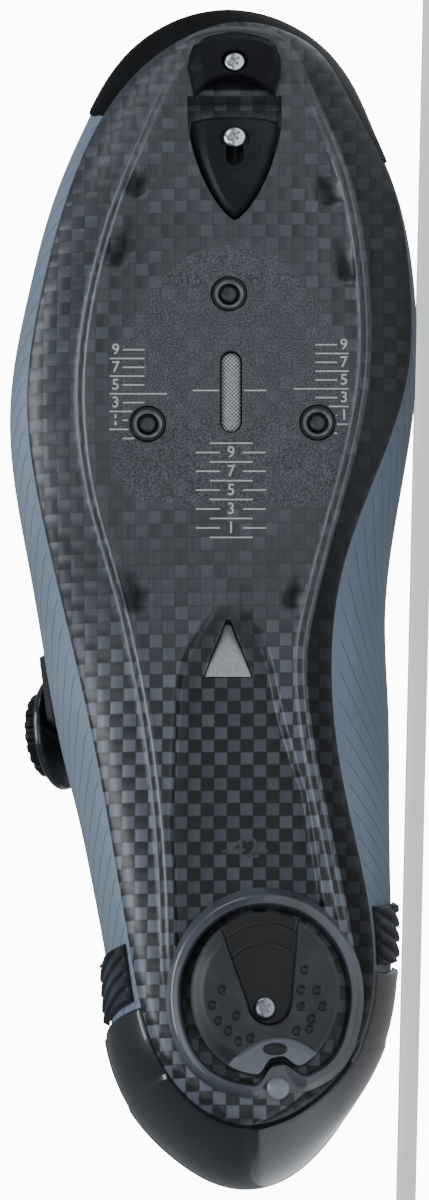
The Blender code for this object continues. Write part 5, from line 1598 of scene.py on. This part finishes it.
def cup_relief(around, rise, _):
    """Side panels a step lower than the middle, a lip along the top, and a soft line down the back."""
    off = cup_side(around)
    step = -0.0004 * ramp(0.60, 0.64, np.abs(off) - 0.10 * rise)
    lip = 0.0005 * ramp(0.90, 0.94, rise) * ramp(1.0, 0.985, rise)
    seam = 0.0003 * mound(off, 0.06, 0.035) * ramp(0.95, 0.6, rise)
    return step + lip + seam


cup_places = np.linspace(CUP_IN, CUP_OUT, 300)
cup_high = 0.60 - 0.18 * np.abs(cup_side(cup_places)) ** 3
overlay(
    "heel_cup_shell", cup_places, 0.0, cup_high, 0.0005, 0.0015, GLOSS, rises=90, edge=0.0011,
    relief=cup_relief, node="heel_cup", slot="gloss",
)


def clip_relief(around, rise, distance):
    """Slanted ribs with a steep side toward the heel."""
    phase = (RIB["at"](around) * LENGTH + 0.0052 * rise) / 0.0034
    part = phase - np.floor(phase)
    ridge = ramp(0.0, 0.22, part) * (1 - 0.75 * ramp(0.30, 1.0, part))
    return 0.0010 * ridge * ramp(0.0, 0.0007, distance)


for name, sign, end in (("heel_clip_outer", +1, CUP_OUT), ("heel_clip_inner", -1, CUP_IN)):
    start = float(RIB["at"](end)) + 0.006
    ends = sorted(around_at(share, sign) - (sign < 0) for share in (start, start + 0.048))
    overlay(
        f"{name}_ribs", np.linspace(*ends, 110), 0.04, 0.36, GAP, 0.0007, CLIP, rises=60, edge=0.0006,
        relief=clip_relief, node=name, slot="rubber",
    )

bumper_places = np.linspace(around_at(0.905, +1), around_at(0.865, -1), 320)
bumper_share = np.linspace(0.0, 1.0, 320)
bumper_high = 0.05 + 0.40 * np.sin(math.pi * bumper_share) ** 0.55
overlay(
    "toe_bumper", bumper_places, 0.0, bumper_high, FILM_LIFT, 0.0006, TOE_RUBBER,
    rises=40, edge=0.0009, slot="gloss",
)


# Straps, tongue, insole and collar
def crossing(outer_round, inner_round, start_out, start_in, out, part, steps, bridge):
    """A line from an outer rib over the throat to an inner rib, as in the part's source but finer."""
    first = upper_point(outer_round, np.linspace(start_out, 1.0, steps), out)
    last = upper_point(inner_round, np.linspace(start_in, 1.0, steps), out)[::-1]
    leave = first[-1] - upper_point(outer_round, 1 - (1 - start_out) * part, out)
    enter = upper_point(inner_round, 1 - (1 - start_in) * part, out) - last[0]
    reach = np.linalg.norm(last[0] - first[-1])
    leave = leave / np.linalg.norm(leave) * reach
    enter = enter / np.linalg.norm(enter) * reach
    t = np.linspace(0.0, 1.0, bridge + 2)[1:-1, None]
    between = (
        (2 * t**3 - 3 * t**2 + 1) * first[-1]
        + (t**3 - 2 * t**2 + t) * leave
        + (3 * t**2 - 2 * t**3) * last[0]
        + (t**3 - t**2) * enter
    )
    return np.concatenate([first, between, last])


def grid_normals(grid, row, column):
    """Unit normals of a grid, on the side that faces up at one of its points."""
    normal = np.cross(np.gradient(grid, axis=0), np.gradient(grid, axis=1))
    normal = normal / np.linalg.norm(normal, axis=-1, keepdims=True)
    return normal if normal[row, column, 1] > 0 else -normal


def line_places(grid):
    """Running lengths along and across a grid, for weave and knit."""
    along, across = lengths(grid, axis=1), lengths(grid)
    return np.stack([along, across, 0 * along], axis=-1).reshape(-1, 3)


STRAP_ROWS = 44
STRAP_MIDDLE = (STRAP_ROWS // 2, 90)
STRAP_LIFT, STRAP_THICKNESS = 0.0007, 0.0018


def strap(name, outer_shares, inner_shares, start_out, start_in):
    """A strap over the throat: returns the points that its stitches stand on."""
    pairs = zip(np.linspace(*outer_shares, STRAP_ROWS), np.linspace(*inner_shares, STRAP_ROWS))
    under = np.array([
        crossing(top_around_at(o, +1), top_around_at(i, -1), start_out, start_in, STRAP_LIFT, 0.25, 60, 60)
        for o, i in pairs
    ])
    normal = grid_normals(under, *STRAP_MIDDLE)
    distance = edge_distance(under)
    full = STRAP_THICKNESS * brow(distance, 0.0009) - 0.00025 * mound(distance, 0.0021, 0.0003)
    full = full + 0.0003 * ramp(0.004, 0.008, distance)
    over = under + normal * full[..., None]
    shell_piece(f"{name}_band", over, under, line_places(under), STRAP, name, slot="strap", angle=50)
    return under + normal * (full + 0.00005)[..., None]


STRAPS = {
    "instep": strap("instep_strap", (0.384, 0.442), (0.396, 0.462), 0.36, 0.62),
    "toe": strap("toe_strap", (0.560, 0.618), (0.560, 0.618), 0.66, 0.66),
}


def tongue_pad():
    places = np.linspace(29, 13, 110) / CAD_ROUND
    tuck = 1 - 1 / 8
    rows = [
        crossing(a, 1 - a, tuck, tuck, -(UPPER_WALL + 0.0009), 1.0, 10, 70) for a in places
    ]
    top = rows[-1]
    for part in np.linspace(0.0, 1.0, 34)[1:]:
        free = top * (1.0, 1.0, 1 - 0.42 * math.sqrt(part))
        rows.append(free + np.array((-0.88, 0.47, 0.0)) * 0.0210 * part)
    outer = np.array(rows)
    normal = grid_normals(outer, 60, 45)
    distance = edge_distance(outer)
    across = np.linspace(-1.0, 1.0, outer.shape[1])[None, :]
    free = ramp(104, 124, np.arange(len(rows)))[:, None]
    channel = mound(np.abs(across), 0.30, 0.035) * ramp(0.004, 0.010, distance)
    crown = 0.0006 * free * brow(distance, 0.004)
    full = brow(distance, 0.0016)
    top_face = outer + normal * (crown - 0.0006 * channel - 0.0006 * (1 - full))[..., None]
    low_face = outer - normal * (0.0026 * full + crown)[..., None]
    made = shell_piece(
        "tongue_pad", top_face, low_face, line_places(outer), TONGUE, "tongue", slot="lining", angle=70,
    )


def insole_board():
    inset = SOLE_SEAT + UPPER_WALL + INSOLE_CLEARANCE
    sides = []
    for dense in (DENSE_OUT, DENSE_IN):
        out_x, out_z = outline_normal(dense)
        along = RIB["at"](dense) * LENGTH - out_x * inset
        across = RIB["side"](dense) * BALL_WIDTH - out_z * inset
        order = np.argsort(along)
        sides.append((along[order], across[order]))
    start = max(side[0][0] for side in sides)
    end = min(side[0][-1] for side in sides)
    along = start + (end - start) * (1 - np.cos(np.linspace(0.0, math.pi, 160))) / 2
    outer = np.interp(along, *sides[0])
    inner = np.interp(along, *sides[1])
    for k in (0, -1):
        outer[k] = inner[k] = (outer[k] + inner[k]) / 2
    blend = np.linspace(0.0, 1.0, 40)
    across = outer[:, None] * (1 - blend) + inner[:, None] * blend
    level = np.broadcast_to(along[:, None], across.shape)
    base = edge_height(level / LENGTH) + GAP
    flat = np.stack([level, base, across], axis=-1)
    distance = edge_distance(flat)
    full = INSOLE_THICKNESS * (0.55 + 0.45 * brow(distance, 0.0012))
    top = np.stack([level, base + full - 0.0007 * ramp(0.004, 0.02, distance), across], axis=-1)
    shell_piece("insole_board", flat, top, line_places(flat), INSOLE_LOOK, "insole", slot="lining", angle=60)


tongue_pad()
insole_board()


def collar_padding():
    """The padded lining inside the collar, from one throat corner round the heel to the other."""
    count = 300
    arounds = np.linspace(top_around_at(0.285, -1) - 1, top_around_at(0.285, +1), count)
    share = np.linspace(0.0, 1.0, count)
    fade = ramp(0.0, 0.10, share) * ramp(1.0, 0.90, share)
    t = np.linspace(0.0, 1.0, 44)[None, :]
    low, high = 0.62, 0.992
    rise = low + (high - low) * t + 0 * arounds[:, None]
    around = np.broadcast_to(arounds[:, None], rise.shape)
    wall = -(UPPER_WALL + 0.00015)
    puff = np.sin(math.pi * t) ** 0.55 * (1 - 0.35 * mound(t, 0.52, 0.035))
    near = upper_point(around, rise, wall)
    far = upper_point(around, rise, wall - 0.0005 - 0.0032 * fade[:, None] * puff)
    made = shell_piece(
        "collar_lining", near, far, skin_places(around, rise), LINING, slot="lining", angle=70,
    )


collar_padding()

# Eyestays along the throat and the stitches that hold them
stay_places = np.linspace(top_around_at(0.36, +1), top_around_at(0.36, -1), 460)
overlay(
    "throat_binding", stay_places, 0.855, 0.990, FILM_LIFT, 0.00042, STAY,
    rises=30, edge=0.0005, slot="microfibre",
)


STITCH_PITCH, STITCH_LENGTH = 0.0026, 0.0019


def stitches(name, path, normal, radius):
    """Small thread loops along a line of points, each arched over the surface."""
    steps = lengths(path)
    rings, sides = 5, 6
    turns = full_turn(sides)
    points, faces = [], []
    for middle in np.arange(STITCH_PITCH, steps[-1] - STITCH_PITCH / 2, STITCH_PITCH):
        at = middle + np.linspace(-STITCH_LENGTH / 2, STITCH_LENGTH / 2, rings)
        line = np.stack([np.interp(at, steps, path[:, k]) for k in range(3)], axis=-1)
        out = np.array([np.interp(middle, steps, normal[:, k]) for k in range(3)])
        ahead = line[-1] - line[0]
        ahead /= np.linalg.norm(ahead)
        side = np.cross(ahead, out)
        arch = np.array([-0.6, 0.5, 0.8, 0.5, -0.6]) * radius
        thin = np.array([0.6, 1.0, 1.05, 1.0, 0.6]) * radius
        first = len(points)
        for k in range(rings):
            for a in turns:
                points.append(line[k] + out * arch[k] + (side * math.cos(a) + out * math.sin(a)) * thin[k])
        faces.extend(grid_faces(rings, sides, start=first, wrap_columns=True).tolist())
        faces.append([first + k for k in range(sides)])
        faces.append([first + (rings - 1) * sides + k for k in range(sides)][::-1])
    piece(name, np.array(points), faces, THREAD, slot="strap", angle=80)


fine = np.linspace(stay_places[3], stay_places[-4], 1500)
for key, rise in (("low", 0.871), ("high", 0.965)):
    path = upper_point(fine, rise, 0.00045)
    out = upper_point(fine, rise, 0.00145) - path
    stitches(f"throat_stitches_{key}", path, out / np.linalg.norm(out, axis=-1, keepdims=True), 0.00022)
for key, face in STRAPS.items():
    normal = grid_normals(face, *STRAP_MIDDLE)
    for side, row in (("front", 6), ("back", -7)):
        stitches(f"{key}_strap_stitches_{side}", face[row], normal[row], 0.00020)

# Dial on the outer end of the instep strap
dial_around = around_at(0.432, +1)
dial_seat = upper_point(dial_around, 0.50, STRAP_LIFT + STRAP_THICKNESS + GAP)
dial_normal = upper_point(dial_around, 0.50, 1.0) - upper_point(dial_around, 0.50)
dial_turn = Vector(dial_normal).to_track_quat("Y", "X").to_matrix().to_4x4()
DIAL = Matrix.Translation(Vector(dial_seat)) @ dial_turn
base_profile = (
    (0.0, 0.0), (13.6, 0.0), (13.95, 0.25), (14.0, 0.9), (13.8, 1.5), (13.3, 1.95), (12.5, 2.15), (11.9, 2.2),
    (11.7, 2.1), (11.5, 1.75), (11.2, 1.7), (9.0, 1.7), (0.0, 1.7),
)
turned_piece(
    "dial_seat_ring", base_profile, (0.0, 0.0), GLOSS, "dial_base", count=120, place=DIAL, slot="gloss",
)


def dial_cap():
    """The knob: grip notches round its side, a sunk face and a raised middle."""
    around = 288
    profile = np.array((
        (0.0, 2.5), (10.0, 2.5), (10.4, 2.7), (10.5, 3.1), (10.5, 4.9), (10.35, 5.4), (9.95, 5.8),
        (9.4, 5.92), (8.2, 5.95), (7.9, 5.85), (7.7, 5.55), (7.3, 5.5), (5.2, 5.55),
        (3.1, 5.65), (2.9, 5.8), (2.7, 6.6), (2.4, 6.85), (1.9, 6.95), (0.0, 7.0),
    )) / 1000
    turns = full_turn(around)
    notch = 0.5 + 0.5 * np.cos(20 * turns)
    radius = np.broadcast_to(profile[None, :, 0], (around, len(profile))).copy()
    grip = ramp(0.0088, 0.0101, profile[:, 0])[None, :] * (profile[None, :, 1] > 0.0026)
    radius -= 0.0008 * grip * (1 - ramp(0.15, 0.6, notch)[:, None])
    x = radius * np.cos(turns)[:, None]
    z = radius * np.sin(turns)[:, None]
    y = np.broadcast_to(profile[None, :, 1], x.shape)
    faces = grid_faces(around, len(profile), wrap_rows=True)
    points = np.stack([x, y, z], axis=-1)
    piece("dial_grip", points, faces, SATIN, "dial_knob", slot="rubber", place=DIAL, angle=35)


dial_cap()


# Camera, lights and floor
TARGET = (0.1392, 0.020, 0.006)
TILT = math.radians(9)
DISTANCE = 1.15
IMAGE_HEIGHT = 1200
FOCUS_PIXELS = 4200 * DISTANCE
SENSOR = 36.0


def make_camera():
    data = bpy.data.cameras.new("camera")
    data.sensor_width = SENSOR
    data.lens = SENSOR * FOCUS_PIXELS / IMAGE_HEIGHT
    camera = bpy.data.objects.new("camera", data)
    bpy.context.scene.collection.objects.link(camera)
    away = Vector((-math.sin(TILT), -math.cos(TILT), 0.0))
    top = Vector((math.cos(TILT), -math.sin(TILT), 0.0))
    right = top.cross(away)
    turn = Matrix((right, top, away)).transposed().to_4x4()
    camera.matrix_world = SHOE @ Matrix.Translation(Vector(TARGET) + away * DISTANCE) @ turn
    bpy.context.scene.camera = camera


make_camera()


SOFT_WHITE = (0.89, 0.955, 1.0)


def area(name, place, target, size, power):
    data = bpy.data.lights.new(name, "AREA")
    data.shape = "RECTANGLE"
    data.size, data.size_y = size
    data.energy = power
    data.color = SOFT_WHITE
    made = bpy.data.objects.new(name, data)
    bpy.context.scene.collection.objects.link(made)
    made.location = place
    made.rotation_euler = (Vector(target) - Vector(place)).to_track_quat("-Z", "Y").to_euler()


area("key from above", (0.05, -0.30, 1.1), (0.0, 0.0, 0.05), (0.9, 0.7), 9.0)
area("toe side", (1.0, -0.5, 0.5), (0.1, 0.0, 0.05), (0.5, 0.5), 1.8)
area("front fill", (-0.3, -1.6, 0.9), (0.0, 0.0, 0.05), (1.2, 0.8), 5.2)


def studio_world():
    """Soft even light on the shoe; the camera itself sees a white backdrop."""
    world = bpy.data.worlds.new("studio")
    bpy.context.scene.world = world
    world.use_nodes = True
    tree = world.node_tree
    soft = tree.nodes["Background"]
    soft.inputs["Color"].default_value = (0.87, 0.945, 1.0, 1.0)
    soft.inputs["Strength"].default_value = 0.17
    white = tree.nodes.new("ShaderNodeBackground")
    white.inputs["Color"].default_value = (1.0, 1.0, 1.0, 1.0)
    white.inputs["Strength"].default_value = 12.0
    seen = tree.nodes.new("ShaderNodeLightPath")
    chosen = tree.nodes.new("ShaderNodeMixShader")
    tree.links.new(seen.outputs["Is Camera Ray"], chosen.inputs[0])
    tree.links.new(soft.outputs[0], chosen.inputs[1])
    tree.links.new(white.outputs[0], chosen.inputs[2])
    tree.links.new(chosen.outputs[0], tree.nodes["World Output"].inputs["Surface"])


studio_world()

bpy.ops.mesh.primitive_plane_add(size=6.0)
floor = bpy.context.object
floor.name = "studio_floor"
floor.data.materials.append(plain_look("pale floor", (0.86, 0.86, 0.86), 0.8, 0.01))
floor_shader = floor.data.materials[0].node_tree.nodes["Principled BSDF"]
floor_shader.inputs["Emission Color"].default_value = (1.0, 1.0, 1.0, 1.0)
floor_shader.inputs["Emission Strength"].default_value = 0.25
